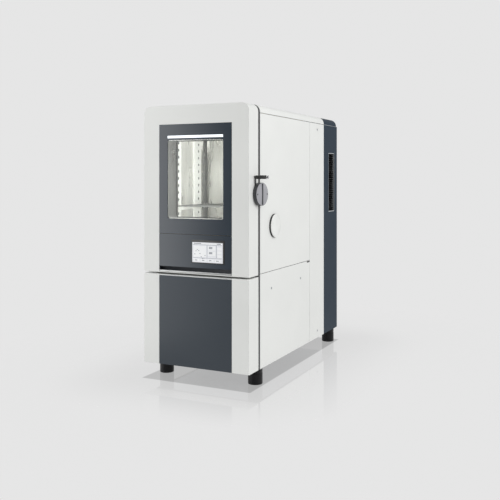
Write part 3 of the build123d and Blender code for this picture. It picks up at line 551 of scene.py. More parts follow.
def pick_faces(piece: Piece, test: Callable[[Vector, Vector], bool]) -> None:
    """Select the faces of a piece, while in edit mode, by centre and normal.

    Args:
        piece: the piece in edit mode.
        test: takes a face's centre and normal, and says whether to select it.
    """
    bpy.ops.mesh.select_all(action="DESELECT")
    bpy.ops.object.mode_set(mode="OBJECT")
    for face in piece.data.polygons:
        face.select = test(face.center, face.normal)
    bpy.ops.object.mode_set(mode="EDIT")


def settle(piece: Piece) -> Piece:
    """Put a piece's place, turn and scale into its mesh.

    Args:
        piece: the piece.

    Returns:
        The same piece.
    """
    pick(piece)
    bpy.ops.object.transform_apply(location=True, rotation=True, scale=True)
    return piece


def block(name: str, low: Sequence[float], high: Sequence[float]) -> Piece:
    """Add a block between two corners.

    Args:
        name: the piece's name.
        low: its lowest corner.
        high: its highest corner.

    Returns:
        The piece.
    """
    bpy.ops.object.select_all(action="DESELECT")
    centre = [(a + b) / 2 for a, b in zip(low, high)]
    bpy.ops.mesh.primitive_cube_add(size=1.0, location=centre)
    piece = bpy.context.object
    piece.name = name
    piece.scale = [b - a for a, b in zip(low, high)]
    return settle(piece)


TURNS: dict[str, Triple] = {
    "X": (0.0, math.pi / 2, 0.0),
    "-X": (0.0, -math.pi / 2, 0.0),
    "Z": (0.0, 0.0, 0.0),
}


def turned(
    name: str, base: Sequence[float], axis: str, profile: Sequence[Span], sides: int = 48
) -> Piece:
    """Turn a round piece by extruding and resizing a disc step by step.

    Args:
        name: the piece's name.
        base: the point on the axis that heights start from.
        axis: X, -X or Z, the direction in which heights rise.
        profile: radius and height of each step.
        sides: how many sides the round has.

    Returns:
        The piece.
    """
    bpy.ops.object.select_all(action="DESELECT")
    radius, height = profile[0]
    bpy.ops.mesh.primitive_circle_add(
        vertices=sides, radius=radius, fill_type="NGON", location=(0.0, 0.0, height)
    )
    piece = bpy.context.object
    piece.name = name
    settle(piece)
    with editing(piece):
        pick_all()
        for new_radius, new_height in profile[1:]:
            step = {"value": (0.0, 0.0, new_height - height)}
            bpy.ops.mesh.extrude_region_move(TRANSFORM_OT_translate=step)
            ratio = new_radius / radius
            bpy.ops.transform.resize(value=(ratio, ratio, 1.0), center_override=(0.0, 0.0, new_height))
            radius, height = new_radius, new_height
        pick_all()
        bpy.ops.mesh.remove_doubles(threshold=1e-6)
        bpy.ops.mesh.normals_make_consistent(inside=False)
    piece.rotation_euler = TURNS[axis]
    piece.location = base
    return settle(piece)


def rounded_plate(
    name: str, x: Span, z: Span, y: Span, radius: float, rim: float = 0.0, segments: int = 8
) -> Piece:
    """Make an upright plate with rounded corners, or a frame if it has a rim.

    Args:
        name: the piece's name.
        x: its span across.
        z: its span in height.
        y: its span in depth.
        radius: radius of its corners.
        rim: width of the frame, or 0 for a full plate.
        segments: steps in each corner.

    Returns:
        The piece.
    """
    bpy.ops.object.select_all(action="DESELECT")
    bpy.ops.mesh.primitive_plane_add(size=1.0, location=(0.0, 0.0, 0.0))
    piece = bpy.context.object
    piece.name = name
    piece.scale = (x[1] - x[0], z[1] - z[0], 1.0)
    settle(piece)
    with editing(piece, "VERT"):
        pick_all()
        if radius > 0.0:
            bpy.ops.mesh.bevel(offset=radius, segments=segments, affect="VERTICES")
        bpy.ops.mesh.select_mode(type="FACE")
        pick_all()
        if rim > 0.0:
            bpy.ops.mesh.inset(thickness=rim)
            bpy.ops.mesh.delete(type="FACE")
            pick_all()
        step = {"value": (0.0, 0.0, -(y[1] - y[0]))}
        bpy.ops.mesh.extrude_region_move(TRANSFORM_OT_translate=step)
        pick_all()
        bpy.ops.mesh.normals_make_consistent(inside=False)
    piece.rotation_euler = (math.pi / 2, 0.0, 0.0)
    piece.location = ((x[0] + x[1]) / 2, y[0], (z[0] + z[1]) / 2)
    return settle(piece)


def soften(piece: Piece, width: float, segments: int = 2, angle: float = 35.0) -> None:
    """Round a piece's sharp edges and shade it smooth.

    Args:
        piece: the piece.
        width: width of the rounding.
        segments: steps in the rounding.
        angle: edges sharper than this are rounded, in degrees.
    """
    pick(piece)
    rounding = piece.modifiers.new("rounding", "BEVEL")
    rounding.width = width
    rounding.segments = segments
    rounding.angle_limit = math.radians(angle)
    rounding.harden_normals = False
    bpy.ops.object.modifier_apply(modifier=rounding.name)
    bpy.ops.object.shade_smooth_by_angle(angle=math.radians(angle))


def smooth(piece: Piece, angle: float = SMOOTH_ANGLE) -> Piece:
    """Shade a piece smooth.

    Args:
        piece: the piece.
        angle: edges sharper than this stay sharp, in degrees.

    Returns:
        The same piece.
    """
    pick(piece)
    bpy.ops.object.shade_smooth_by_angle(angle=math.radians(angle))
    return piece


def lean(piece: Piece, angle: float, axis: str, middle: Sequence[float]) -> Piece:
    """Turn a piece's mesh about a point.

    Args:
        piece: the piece.
        angle: the turn, in degrees.
        axis: X, Y or Z, the axis that it turns about.
        middle: the point.

    Returns:
        The same piece.
    """
    with editing(piece, "VERT"):
        pick_all()
        turn = math.radians(angle)
        bpy.ops.transform.rotate(value=turn, orient_axis=axis, center_override=tuple(middle))
    return piece


def paired_blocks(
    name: str, faces: Sequence[Span], x: Span, y: Span, z: Span, width: float, segments: int
) -> list[Piece]:
    """Make alike rounded blocks that stand on two facing or opposite faces.

    Args:
        name: name of each block.
        faces: X of each face, and 1 or -1 for the direction in which its block stands.
        x: span of a block from its face.
        y: its span in depth.
        z: its span in height.
        width: width of its rounding.
        segments: steps in its rounding.

    Returns:
        The blocks.
    """
    blocks = []
    for face, out in faces:
        ends = sorted((face + out * x[0], face + out * x[1]))
        blocks.append(block(name, (ends[0], y[0], z[0]), (ends[1], y[1], z[1])))
        soften(blocks[-1], width, segments)
    return blocks


def carve(piece: Piece, cutter: Piece) -> None:
    """Cut one piece out of another and remove the cutter.

    Args:
        piece: the piece that's cut.
        cutter: the piece that's taken away.
    """
    pick(piece)
    cut = piece.modifiers.new("cut", "BOOLEAN")
    cut.operation = "DIFFERENCE"
    cut.solver = "EXACT"
    cut.object = cutter
    bpy.ops.object.modifier_apply(modifier=cut.name)
    bpy.data.objects.remove(cutter, do_unlink=True)


def join_up(name: str, pieces: Sequence[Piece]) -> Piece:
    """Join pieces into one.

    Args:
        name: the name that the joined piece takes.
        pieces: the pieces to join.

    Returns:
        The joined piece.
    """
    pick(*pieces)
    bpy.ops.object.join()
    joined = bpy.context.object
    joined.name = name
    return joined


def repeat(piece: Piece, moves: Sequence[Triple]) -> list[Piece]:
    """Copy a finished piece to other places, each copy with its own mesh.

    Args:
        piece: the piece to copy; it stays where it is.
        moves: how far each copy moves.

    Returns:
        The piece and its copies.
    """
    copies = [piece]
    for move in moves:
        twin = piece.copy()
        twin.data = piece.data.copy()
        bpy.context.collection.objects.link(twin)
        twin.location = move
        copies.append(settle(twin))
    return copies


def place(piece: Piece, finish: Finish | PaneFinish, body: str, slot: str) -> Piece:
    """Dress a new piece and let it ride on its body.

    Args:
        piece: the finished piece.
        finish: its finish.
        body: the CAD body it rides on.
        slot: the record's slot; not used.

    Returns:
        The same piece.
    """
    piece.data.materials.clear()
    piece.data.materials.append(finish.build())
    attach(piece, body)
    log.info("placed %s on %s", piece.name, body)
    return piece


def spread(low: float, high: float, count: int) -> list[float]:
    """Evenly spaced places between two ends, both ends included."""
    return [low + (high - low) * step / (count - 1) for step in range(count)]


@dataclass(frozen=True)
class Fasteners:
    """Round-headed screws with a round sunk drive."""

    head_radius: float = 8.0 * MM
    head_height: float = 1.4 * MM
    drive_radius: float = 4.0 * MM
    drive_depth: float = 1.0 * MM

    def screw(self, name: str, base: Sequence[float], axis: str) -> Piece:
        """Model one screw head standing on a surface.

        Args:
            name: the piece's name.
            base: the middle of the head's underside.
            axis: the direction that the head faces.

        Returns:
            The piece.
        """
        top = self.head_height
        profile = [
            (self.head_radius, 0.0),
            (self.head_radius, top * 0.45),
            (self.head_radius * 0.86, top * 0.85),
            (self.head_radius * 0.62, top),
            (self.drive_radius, top),
            (self.drive_radius * 0.92, top - self.drive_depth),
        ]
        return smooth(turned(name, base, axis, profile, 24))


@dataclass
class Cabinet:
    """White panels, grey front frame, feet, fasteners and catches.

    Seats and catches are placed in millimetres from the doors' front and from the floor.
    """

    foot_radius: float = 45.0 * MM
    foot_lip: float = 2.0 * MM
    doors_ahead: float = 154.0 * MM
    seats: tuple[Span, ...] = ((321, 568), (805, 570), (1129, 1605), (1129, 150))
    catch_y: Span = (925, 973)
    catch_z: Span = (663, 672)
    catch_height: float = 1.8 * MM
    screws: Fasteners = Fasteners()

    def build(self) -> None:
        """Dress the panels and model the feet and fasteners."""
        dress(WHITE_PAINT, "roof_panel", "side_panels_left", "side_panels_right")
        dress(FRAME_PAINT, "front_frame")
        dress(SLATE_PAINT, "rear_cover", "rear_cap")
        dress(ZINC, "base_pan", "support_frame")
        dress(FOAM, "chamber_insulation")
        dress(STAINLESS, "frame_hinge_leaves")
        dress(ZINC, "hinge_pins", "latch_keeper")
        self.feet()
        self.fasteners()

    def feet(self) -> None:
        """Model the round rubber feet."""
        low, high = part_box("levelling_feet")
        radius, tall = self.foot_radius, high.z
        neck, collar = radius - self.foot_lip, radius - 0.5 * MM
        profile = [
            (radius - 4 * MM, 0.0),
            (radius - 1 * MM, 1.2 * MM),
            (radius, 5 * MM),
            (radius, tall * 0.66),
            (neck, tall * 0.68),
            (neck, tall * 0.70),
            (collar, tall * 0.72),
            (collar, tall - self.foot_lip),
            (radius - 3 * MM, tall),
        ]
        first = smooth(turned("foot", (low.x + radius, low.y + radius, 0.0), "Z", profile, 64))
        across = high.x - low.x - 2 * radius
        along = high.y - low.y - 2 * radius
        feet = repeat(first, [(across, 0.0, 0.0), (0.0, along, 0.0), (across, along, 0.0)])
        piece = place(join_up("rubber_feet", feet), FOOT_RUBBER, "cabinet", "seal_rubber")
        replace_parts(piece, "levelling_feet")

    def fasteners(self) -> None:
        """Model the panel screws and the small catches at the panel seam."""
        low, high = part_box("side_panels_right")
        left_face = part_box("side_panels_left")[0].x
        front = low.y - self.doors_ahead
        heads = []
        for number, (y, z) in enumerate(self.seats):
            seat = (front + y * MM, z * MM)
            heads.append(self.screws.screw(f"screw_right_{number}", (high.x, *seat), "X"))
            heads.append(self.screws.screw(f"screw_left_{number}", (left_face, *seat), "-X"))
        screws = place(join_up("panel_screws", heads), ZINC, "cabinet", "zinc_steel")
        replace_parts(screws, "panel_fasteners")
        faces = ((high.x, 1.0), (left_face, -1.0))
        y = (front + self.catch_y[0] * MM, front + self.catch_y[1] * MM)
        z = (self.catch_z[0] * MM, self.catch_z[1] * MM)
        catches = paired_blocks("catch", faces, (0.0, self.catch_height), y, z, 1.5 * MM, 3)
        place(join_up("panel_catches", catches), BLACK_PLASTIC, "cabinet", "black_plastic")


@dataclass
class RearColumn:
    """Dark rear column: louvred side vents, and the connection bay in its back."""

    blade_pitch: float = 14.0 * MM
    blade_tilt: float = 35.0
    blade_half: float = 0.8 * MM
    blade_inset: float = 2.0 * MM
    blade_margin: float = 6.0 * MM
    rim: float = 5.0 * MM
    rim_wall: float = 1.0 * MM
    slot_depth: float = 16.0 * MM
    seam_play: float = 0.3 * MM
    seam_depth: float = 2.6 * MM

    def build(self) -> None:
        """Model the vents and dress the connection bay."""
        self.vents()
        self.seam_highlight_strips()
        dress(ZINC, "connection_box")
        dress(SWITCH_YELLOW, "main_switch_body")
        dress(SWITCH_RED, "main_switch_knob")
        dress(ZINC, "supply_fittings")

    def seam_highlight_strips(self) -> None:
        """Model thin pale strips that fill the seam under the column's cap: a painted highlight along the
        seam.
        """
        low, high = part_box("rear_cover")
        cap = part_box("rear_cap")[0].z
        faces = ((high.x, -1.0), (low.x, 1.0))
        y = (low.y + 2 * MM, high.y - 4 * MM)
        z = (high.z + self.seam_play, cap - self.seam_play)
        strips = paired_blocks("seam_highlight_strip", faces, (self.seam_play, self.seam_depth), y, z, 0.4 * MM, 2)
        # the pale strips paint the highlight along the seam under the cap
        place(join_up("seam_highlight_strips", strips), PALE_EDGE_HIGHLIGHT, "cabinet", "grip_grey")

    def vents(self) -> None:
        """Model a thin pale rim and near-black louvre blades in each side slot: the rim's colour is a
        painted highlight on the slot's edges, and the blades' black is partly painted shade inside the
        slot.
        """
        low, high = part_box("vent_grilles")
        rims, blades = [], []
        for side, face in ((-1.0, low.x), (1.0, high.x)):
            x = sorted((face, face - side * self.slot_depth))
            outer = block("rim", (x[0], low.y, low.z), (x[1], high.y, high.z))
            with editing(outer):
                pick_faces(outer, lambda centre, normal: abs(normal.x) > 0.9)
                bpy.ops.mesh.inset(thickness=self.rim)
                bpy.ops.mesh.delete(type="FACE")
            rims.append(outer)
            count = int((high.z - low.z - 2 * self.rim) / self.blade_pitch)
            bottom = low.z + self.rim + self.blade_margin
            for z in spread(bottom, high.z - self.rim - self.blade_margin, count):
                blade = block(
                    "blade",
                    (x[0] + self.blade_inset, low.y + self.rim, z - self.blade_half),
                    (x[1] - self.blade_inset, high.y - self.rim, z + self.blade_half),
                )
                middle = ((x[0] + x[1]) / 2, (low.y + high.y) / 2, z)
                lean(blade, self.blade_tilt * side, "Y", middle)
                blades.append(blade)
        frames = join_up("vent_rims", rims)
        pick(frames)
        walls = frames.modifiers.new("walls", "SOLIDIFY")
        walls.thickness = self.rim_wall
        bpy.ops.object.modifier_apply(modifier=walls.name)
        # pale rims paint the highlight on the slot edges; near-black louvres carry painted shade inside the
        # slots
        place(frames, PALE_EDGE_HIGHLIGHT, "cabinet", "grip_grey")
        louvres = place(join_up("vent_louvres", blades), VENT_BLACK_AND_SHADE, "cabinet", "black_plastic")
        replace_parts(louvres, "vent_grilles")


@dataclass
class ChamberDoor:
    """Thick insulated door: glass field, window, light strip, display and grip."""

    rim: float = 3.0 * MM
    gasket: float = 4.0 * MM
    window_corner: float = 12.0 * MM
    window_play: float = 0.2 * MM
    rim_y: Span = (0.5 * MM, 5.0 * MM)
    gasket_y: Span = (14.0 * MM, 8.2 * MM)
    bezel: tuple[float, float, float, float] = (3.0 * MM, 11.0 * MM, 5.0 * MM, 13.0 * MM)
    bezel_lift: float = 0.8 * MM
    screen_edge: float = 0.5 * MM
    tile_thickness: float = 0.25 * MM
    line_lift: float = 0.1 * MM
    seal_width: float = 18.0 * MM
    seal_corner: float = 30.0 * MM
    seal_round: float = 5.5 * MM
    grip_wall: float = 2.5 * MM
    grip_back: float = 4.0 * MM
    lip: Span = (9.0 * MM, 10.0 * MM)
    lip_round: float = 3.2 * MM

    def build(self) -> None:
        """Dress the door and model its window trim, display picture, seal and grip."""
        dress(DOOR_PAINT, "door_shell")
        dress(FOAM, "door_insulation")
        dress(STAINLESS, "door_inner_panel")
        # the tunnel's darker stainless is painted shade
        dress(REVEAL, "window_tunnel")
        dress(PRINTED_GLASS, "glass_surround", "control_panel")
        dress(CLEAR_PANE, "window_panes")
        dress(LIGHT_STRIP, "light_bar")
        dress(SCREEN, "display_screen")
        dress(STAINLESS, "door_hinge_leaves")
        self.window_trim()
        self.display_bezel()
        self.display_picture()
        self.seal()
        self.grip()

    def window_trim(self) -> None:
        """Model the bright rim behind the outer pane and the gasket at the inner pane."""
        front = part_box("window_tunnel")[0].y
        low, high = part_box("window_panes")
        play = self.window_play
        x, z = (low.x + play, high.x - play), (low.z + play, high.z - play)
        y = (front + self.rim_y[0], front + self.rim_y[1])
        rim = rounded_plate("window_rim", x, z, y, self.window_corner, self.rim)
        soften(rim, 0.6 * MM, 2)
        place(rim, POLISHED, "chamber_door", "stainless")
        y = (high.y - self.gasket_y[0], high.y - self.gasket_y[1])
        gasket = rounded_plate("pane_gasket", x, z, y, self.window_corner, self.gasket)
        soften(gasket, 1.5 * MM, 3)
        place(gasket, SEAL_RUBBER, "chamber_door", "seal_rubber")

    def display_bezel(self) -> None:
        """Model the black frame around the screen and the screen's thin bright edge."""
        low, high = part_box("display_screen")
        left, right, under, over = self.bezel
        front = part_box("control_panel")[0].y
        bezel = block(
            "display_bezel",
            (low.x - left, front - self.bezel_lift, low.z - under),
            (high.x + right, front + 2.0 * MM, high.z + over),
        )
        edge = self.screen_edge
        hole = block(
            "screen_hole",
            (low.x + edge, front - 5 * MM, low.z + edge),
            (high.x - edge, front + 5 * MM, high.z - edge),
        )
        carve(bezel, hole)
        soften(bezel, 0.4 * MM, 2)
        place(bezel, BLACK_PLASTIC, "chamber_door", "black_plastic")

    def display_picture(self) -> None:
        """Model the plain screen picture: a head bar, fields, a small graph and keys."""
        low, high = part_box("display_screen")
        wide, tall = high.x - low.x, high.z - low.z
        front = low.y

        def tile(name: str, x: Span, z: Span, lift: float = 0.0) -> Piece:
            """Model a thin tile, placed by shares of the screen's width and height.

            Args:
                name: the tile's name.
                x: its span across.
                z: its span in height.
                lift: how far it stands off the screen.

            Returns:
                The tile.
            """
            return block(
                name,
                (low.x + wide * x[0], front - self.tile_thickness - lift, low.z + tall * z[0]),
                (low.x + wide * x[1], front - lift, low.z + tall * z[1]),
            )

        over = self.line_lift
        pale = [tile("head", (0.03, 0.97), (0.90, 0.97)), tile("graph", (0.05, 0.46), (0.28, 0.82))]
        pale += [tile("value", (0.52, 0.76), span) for span in ((0.62, 0.82), (0.36, 0.56))]
        pale += [tile("key", (0.82, 0.95), (rise, rise + 0.13)) for rise in (0.28, 0.46, 0.64)]
        lines = [tile("rule", (0.03, 0.97), span, over) for span in ((0.865, 0.878), (0.222, 0.235))]
        lines += [tile("post", span, (0.25, 0.85), over) for span in ((0.484, 0.493), (0.785, 0.794))]
        for rise in (0.44, 0.49, 0.69, 0.75):
            lines.append(tile("digit", (0.55, 0.66), (rise, rise + 0.035), over))
        lines += [tile("word", span, (0.92, 0.95), over) for span in ((0.06, 0.30), (0.80, 0.93))]
        for step in (0.0, 0.23, 0.46, 0.69):
            pale.append(tile("key", (0.05 + step, 0.24 + step), (0.05, 0.18)))
            lines.append(tile("mark", (0.09 + step, 0.17 + step), (0.10, 0.13), over))
        place(join_up("screen_fields", pale), SCREEN_PALE, "chamber_door", "screen")
        for step in range(9):
            rise = 0.40 + 0.22 * math.sin(step * 0.75)
            across = (0.07 + step * 0.042, 0.108 + step * 0.042)
            lines.append(tile("trace", across, (rise, rise + 0.024), over))
        place(join_up("screen_lines", lines), SCREEN_LINE, "chamber_door", "screen")

    def seal(self) -> None:
        """Model the door seal as a soft bulb that follows the frame."""
        low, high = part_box("door_seal")
        x, z, y = ((low[axis], high[axis]) for axis in (0, 2, 1))
        piece = rounded_plate("door_seal_bulb", x, z, y, self.seal_corner, self.seal_width, 10)
        soften(piece, self.seal_round, 5, 60)
        place(piece, SEAL_RUBBER, "chamber_door", "seal_rubber")
        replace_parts(piece, "door_seal")

    def grip(self) -> None:
        """Model the pull under the panel: a dark channel with a rounded metal lip."""
        low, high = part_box("door_grip")
        channel = block("grip_channel", (low.x, low.y + self.grip_back, low.z), high)
        with editing(channel):
            pick_faces(channel, lambda centre, normal: normal.y < -0.9)
            bpy.ops.mesh.inset(thickness=self.grip_wall)
            depth = high.y - low.y - 2 * self.grip_back
            bpy.ops.mesh.extrude_region_move(TRANSFORM_OT_translate={"value": (0.0, depth, 0.0)})
        soften(channel, 0.8 * MM)
        piece = place(channel, GRIP_DARK, "chamber_door", "black_plastic")
        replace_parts(piece, "door_grip")
        lip = block("grip_lip", low, (high.x, low.y + self.lip[0], low.z + self.lip[1]))
        soften(lip, self.lip_round, 5)
        place(lip, GRIP_METAL, "chamber_door", "grip_grey")


@dataclass
class RotaryHandle:
    """Round latch handle on the door's side: dark drum, tilted grey face, lever and peg."""

    tilt: float = 5.8
    ridge_half: float = 5.5 * MM
    ridge_height: float = 4.0 * MM
    skirt_wall: float = 5.6 * MM
    skirt_edge: float = 6.0 * MM
    plate: float = 9.5 * MM
    drum_depth: float = 18.5 * MM
    cut_past: float = 5.0 * MM
    drum_past: float = 12.0 * MM
    face_sunk: float = 1.2 * MM
    face_inset: float = 2.2 * MM
    face_edge: float = 1.2 * MM
    dome: float = 2.4 * MM
    ridge_end: float = 5.0 * MM
    ridge_sunk: float = 1.5 * MM
    dimple_at: float = 0.8
    arm_half: float = 3.5 * MM
    arm_depth: float = 6.0 * MM
    cap_length: float = 11.0 * MM
    radius: float = field(init=False)
    back: float = field(init=False)
    centre: Vector = field(init=False)

    def build(self) -> None:
        """Model the drum, its face, the lever and the peg."""
        dress(BLACK_PLASTIC, "handle_bearing")
        dress(ZINC, "handle_spindle")
        low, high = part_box("handle_disc")
        self.radius = (high.z - low.z) / 2
        self.back = low.x
        front = low.x + self.drum_depth + self.plate
        self.centre = Vector((front, (low.y + high.y) / 2, (low.z + high.z) / 2))
        self.drum()
        self.face()
        self.lever()

    def drum(self) -> None:
        """Model the dark drum, open at the back and cut away on the side of the keeper."""
        back, centre = self.back, self.centre
        reach = centre.x + self.drum_past - back
        base = (back, centre.y, centre.z)
        drum = turned("handle_drum", base, "X", [(self.radius, 0.0), (self.radius, reach)], 96)
        slant = Vector((1.0, -math.tan(math.radians(self.tilt)), 0.0)).normalized()
        with editing(drum):
            pick_all()
            bpy.ops.mesh.bisect(
                plane_co=tuple(centre - slant * self.face_sunk),
                plane_no=tuple(slant),
                clear_outer=True,
                use_fill=True,
            )
            pick_all()
            bpy.ops.mesh.normals_make_consistent(inside=False)
        inner = self.radius - self.skirt_wall
        profile = [(inner, 0.0), (inner, self.drum_depth + self.cut_past)]
        behind = back - self.cut_past
        hollow = turned("hollow", (behind, centre.y, centre.z), "X", profile, 72)
        edge = centre.y - self.skirt_edge
        far = (back + self.drum_depth, edge + 0.1, centre.z + 0.1)
        rear = block("rear", (behind, edge, centre.z - 0.1), far)
        carve(drum, hollow)
        carve(drum, rear)
        soften(drum, 1.6 * MM, 3, 50)
        piece = place(drum, DARK_PLASTIC, "door_handle", "black_plastic")
        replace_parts(piece, "handle_disc")

    def face(self) -> None:
        """Model the grey face with its low dome, the dark ridge across it and two dimples."""
        centre, half = self.centre, self.ridge_half
        rim = self.radius - self.face_inset
        profile = [(rim, 0.0), (rim, self.face_edge)]
        for turn in spread(0.2, 1.5, 9):
            profile.append((rim * math.cos(turn), self.face_edge + self.dome * math.sin(turn)))
        face = turned("handle_face", (centre.x - 2 * MM, centre.y, centre.z), "X", profile, 96)
        smooth(lean(face, self.tilt, "Z", centre))
        place(face, HANDLE_GREY, "door_handle", "handle_grey")
        z = (centre.z - self.radius + self.ridge_end, centre.z + self.radius - self.ridge_end)
        thick = (0.0, self.ridge_height + self.ridge_sunk)
        ridge = rounded_plate("handle_ridge", (centre.y - half, centre.y + half), z, thick, half)
        lean(ridge, 90.0, "Z", (centre.y, 0.0, centre.z))
        with editing(ridge, "VERT"):
            pick_all()
            shift = (centre.x - self.ridge_sunk - centre.y, centre.y, 0.0)
            bpy.ops.transform.translate(value=shift)
        lean(ridge, self.tilt, "Z", centre)
        soften(ridge, 1.5 * MM, 3)
        marks = [ridge]
        profile = [(4.5 * MM, 0.0), (4.5 * MM, 1.6 * MM), (3.0 * MM, 1.8 * MM), (2.6 * MM, 0.8 * MM)]
        for side in (-1.0, 1.0):
            spot = (centre.x + 0.2 * MM, centre.y + side * self.dimple_at * self.radius, centre.z)
            marks.append(lean(turned("dimple", spot, "X", profile, 24), self.tilt, "Z", centre))
        place(join_up("handle_ridge", marks), DARK_PLASTIC, "door_handle", "black_plastic")

    def lever(self) -> None:
        """Model the flat arm, the grooved peg and its bright end cap."""
        low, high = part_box("handle_lever")
        mid_y = (low.y + high.y) / 2
        radius = (high.y - low.y) / 2
        peg_z = high.z - radius
        arm = block(
            "lever_arm",
            (low.x, mid_y - self.arm_half, low.z),
            (low.x + self.arm_depth, mid_y + self.arm_half, peg_z),
        )
        soften(arm, 1.0 * MM, 2)
        length, cap, groove = high.x - low.x, self.cap_length, radius * 0.94
        profile = [(radius * 0.8, 0.0), (radius * 0.95, 1.5 * MM), (radius * 0.95, 8 * MM)]
        for start in spread(10 * MM, length - cap - 6 * MM, 12):
            profile += [(radius, start), (radius, start + 3 * MM)]
            profile += [(groove, start + 3.6 * MM), (groove, start + 4.4 * MM)]
        profile += [(radius * 0.95, length - cap)]
        peg = smooth(turned("grip_peg", (low.x, mid_y, peg_z), "X", profile, 40), 30)
        grip = join_up("handle_lever_grip", [peg, arm])
        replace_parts(place(grip, BLACK_PLASTIC, "door_handle", "black_plastic"), "handle_lever")
        profile = [(radius, 0.0), (radius, cap * 0.55), (radius * 0.9, cap * 0.85), (radius * 0.6, cap)]
        end = turned("peg_end_cap", (high.x - cap, mid_y, peg_z), "X", profile, 40)
        place(smooth(end, 50), CHROME, "door_handle", "stainless")


@dataclass
class CablePort:
    """Side cable port: tube, dark collar, soft plug with its white cap."""

    cap_thickness: float = 4.7 * MM
    plug_radius: float = 59.7 * MM
    plug_play: float = 0.4 * MM

    def build(self) -> None:
        """Dress the tube and model the collar and the plug."""
        dress(STAINLESS, "port_tube")
        self.collar()
        self.plug()

    def collar(self) -> None:
        """Model the soft dark collar with a round lip and two grooves."""
        low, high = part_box("port_collar")
        mid = ((low.y + high.y) / 2, (low.z + high.z) / 2)
        radius = (high.z - low.z) / 2
        thick = high.x - low.x
        bore = self.plug_radius + self.plug_play
        profile = [
            (radius, 0.0),
            (radius, thick * 0.25),
            (radius - 1.2 * MM, thick * 0.35),
            (radius - 1.2 * MM, thick * 0.5),
            (radius - 0.4 * MM, thick * 0.6),
            (radius - 0.4 * MM, thick * 0.9),
            (radius - 1.5 * MM, thick),
            (bore, thick),
            (bore, 0.2 * MM),
        ]
        ring = turned("port_collar_ring", (low.x, *mid), "X", profile, 96)

        def is_lid(centre: Vector, normal: Vector) -> bool:
            """Tell the flat lids that close the ring's bore."""
            return abs(normal.x) > 0.9 and (centre.yz - Vector(mid)).length < 1e-4

        with editing(ring):
            pick_faces(ring, is_lid)
            bpy.ops.mesh.delete(type="FACE")
        piece = place(smooth(ring), SEAL_RUBBER, "cabinet", "seal_rubber")
        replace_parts(piece, "port_collar")

    def plug(self) -> None:
        """Model the soft plug and its cap with a fine groove near the rim."""
        low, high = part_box("port_plug")
        mid = ((low.y + high.y) / 2, (low.z + high.z) / 2)
        rim = (high.z - low.z) / 2
        length = high.x - low.x
        seat = length - self.cap_thickness
        profile = [
            (self.plug_radius - 3 * MM, 0.0),
            (self.plug_radius, 4 * MM),
            (self.plug_radius, seat),
            (rim - 1 * MM, seat),
            (rim, seat + 1 * MM),
            (rim, length - 1.6 * MM),
            (rim - 1.2 * MM, length - 0.4 * MM),
            (rim - 2.5 * MM, length),
            (rim - 5.0 * MM, length),
            (rim - 5.4 * MM, length - 1.0 * MM),
            (rim - 6.2 * MM, length - 1.0 * MM),
            (rim - 6.6 * MM, length - 0.1 * MM),
            (4 * MM, length),
        ]
        plug = smooth(turned("soft_port_plug", (low.x, *mid), "X", profile, 96))
        place(plug, SILICONE, "port_plug", "port_silicone")
        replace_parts(plug, "port_plug")


@dataclass
class TestSpace:
    """Stainless inside: liner, rails, shelf, duct panel, fan and sensors."""

    rail_spans: tuple[Span, Span] = ((0.0, 62.0 * MM), (234.0 * MM, 330.0 * MM))
    rail_shade_strip: Span = (0.2 * MM, 5.4 * MM)
    trim: Span = (0.4 * MM, 15.0 * MM)
    lamp_ends: float = 90.0 * MM
    lamp_y: Span = (12.0 * MM, 40.0 * MM)
    lamp_under: Span = (14.0 * MM, 2.2 * MM)

    def build(self) -> None:
        """Dress the inside and add its lamp, dark strips of painted shade in the rails, and duct trims."""
        dress(LINER, "chamber_liner", "air_duct_panel")
        # the rails' paler stainless is partly satin finish, partly painted light
        dress(SATIN_AND_PAINTED_LIGHT, "shelf_supports")
        dress(SHELF_WIRE, "wire_shelf")
        dress(POLISHED, "climate_sensors")
        dress(FIN_ALUMINIUM, "circulation_fan", "evaporator_coil")
        dress(ZINC, "heater_coil")
        dress(BLACK_IRON, "fan_motor")
        self.lamp()
        self.rail_shade_strips()
        self.duct_edges()

    def duct_edges(self) -> None:
        """Model the bright folded trims along the duct panel's two upright edges."""
        low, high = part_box("air_duct_panel")
        faces = ((low.x, 1.0), (high.x, -1.0))
        y = (low.y + 0.8 * MM, low.y + 6.2 * MM)
        z = (low.z + 6 * MM, high.z - 6 * MM)
        trims = paired_blocks("duct_edge", faces, self.trim, y, z, 1.2 * MM, 3)
        place(join_up("duct_edges", trims), POLISHED, "cabinet", "stainless")

    def lamp(self) -> None:
        """Model the lamp strip under the ceiling, just behind the door."""
        low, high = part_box("chamber_liner")
        strip = block(
            "space_lamp",
            (low.x + self.lamp_ends, low.y + self.lamp_y[0], high.z - self.lamp_under[0]),
            (high.x - self.lamp_ends, low.y + self.lamp_y[1], high.z - self.lamp_under[1]),
        )
        soften(strip, 3 * MM, 3)
        place(strip, LAMP, "cabinet", "light_strip")

    def rail_shade_strips(self) -> None:
        """Model dark strips inside the shelf rails, painted shade seen through their slots."""
        low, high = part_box("shelf_supports")
        z = (low.z + 2 * MM, high.z - 2 * MM)
        # black strips inside the rails: painted shade behind the slots
        shade_strips = []
        for face in ((low.x, 1.0), (high.x, -1.0)):
            for start, end in self.rail_spans:
                y = (low.y + start + 3 * MM, low.y + end - 3 * MM)
                shade_strips += paired_blocks("rail_shade_strip", (face,), self.rail_shade_strip, y, z, 1 * MM, 1)
        place(join_up("rail_shade_strips", shade_strips), BLACK_PLASTIC, "cabinet", "black_plastic")


@dataclass
class ServiceDoor:
    """Lower door with its dark panel and pale top trim."""

    def build(self) -> None:
        """Dress the door's pieces."""
        dress(DOOR_PAINT, "service_door_shell")
        dress(SLATE_GLOSS, "service_door_front")
        dress(GRIP_METAL, "service_door_trim")
        dress(STAINLESS, "service_hinge_leaves")


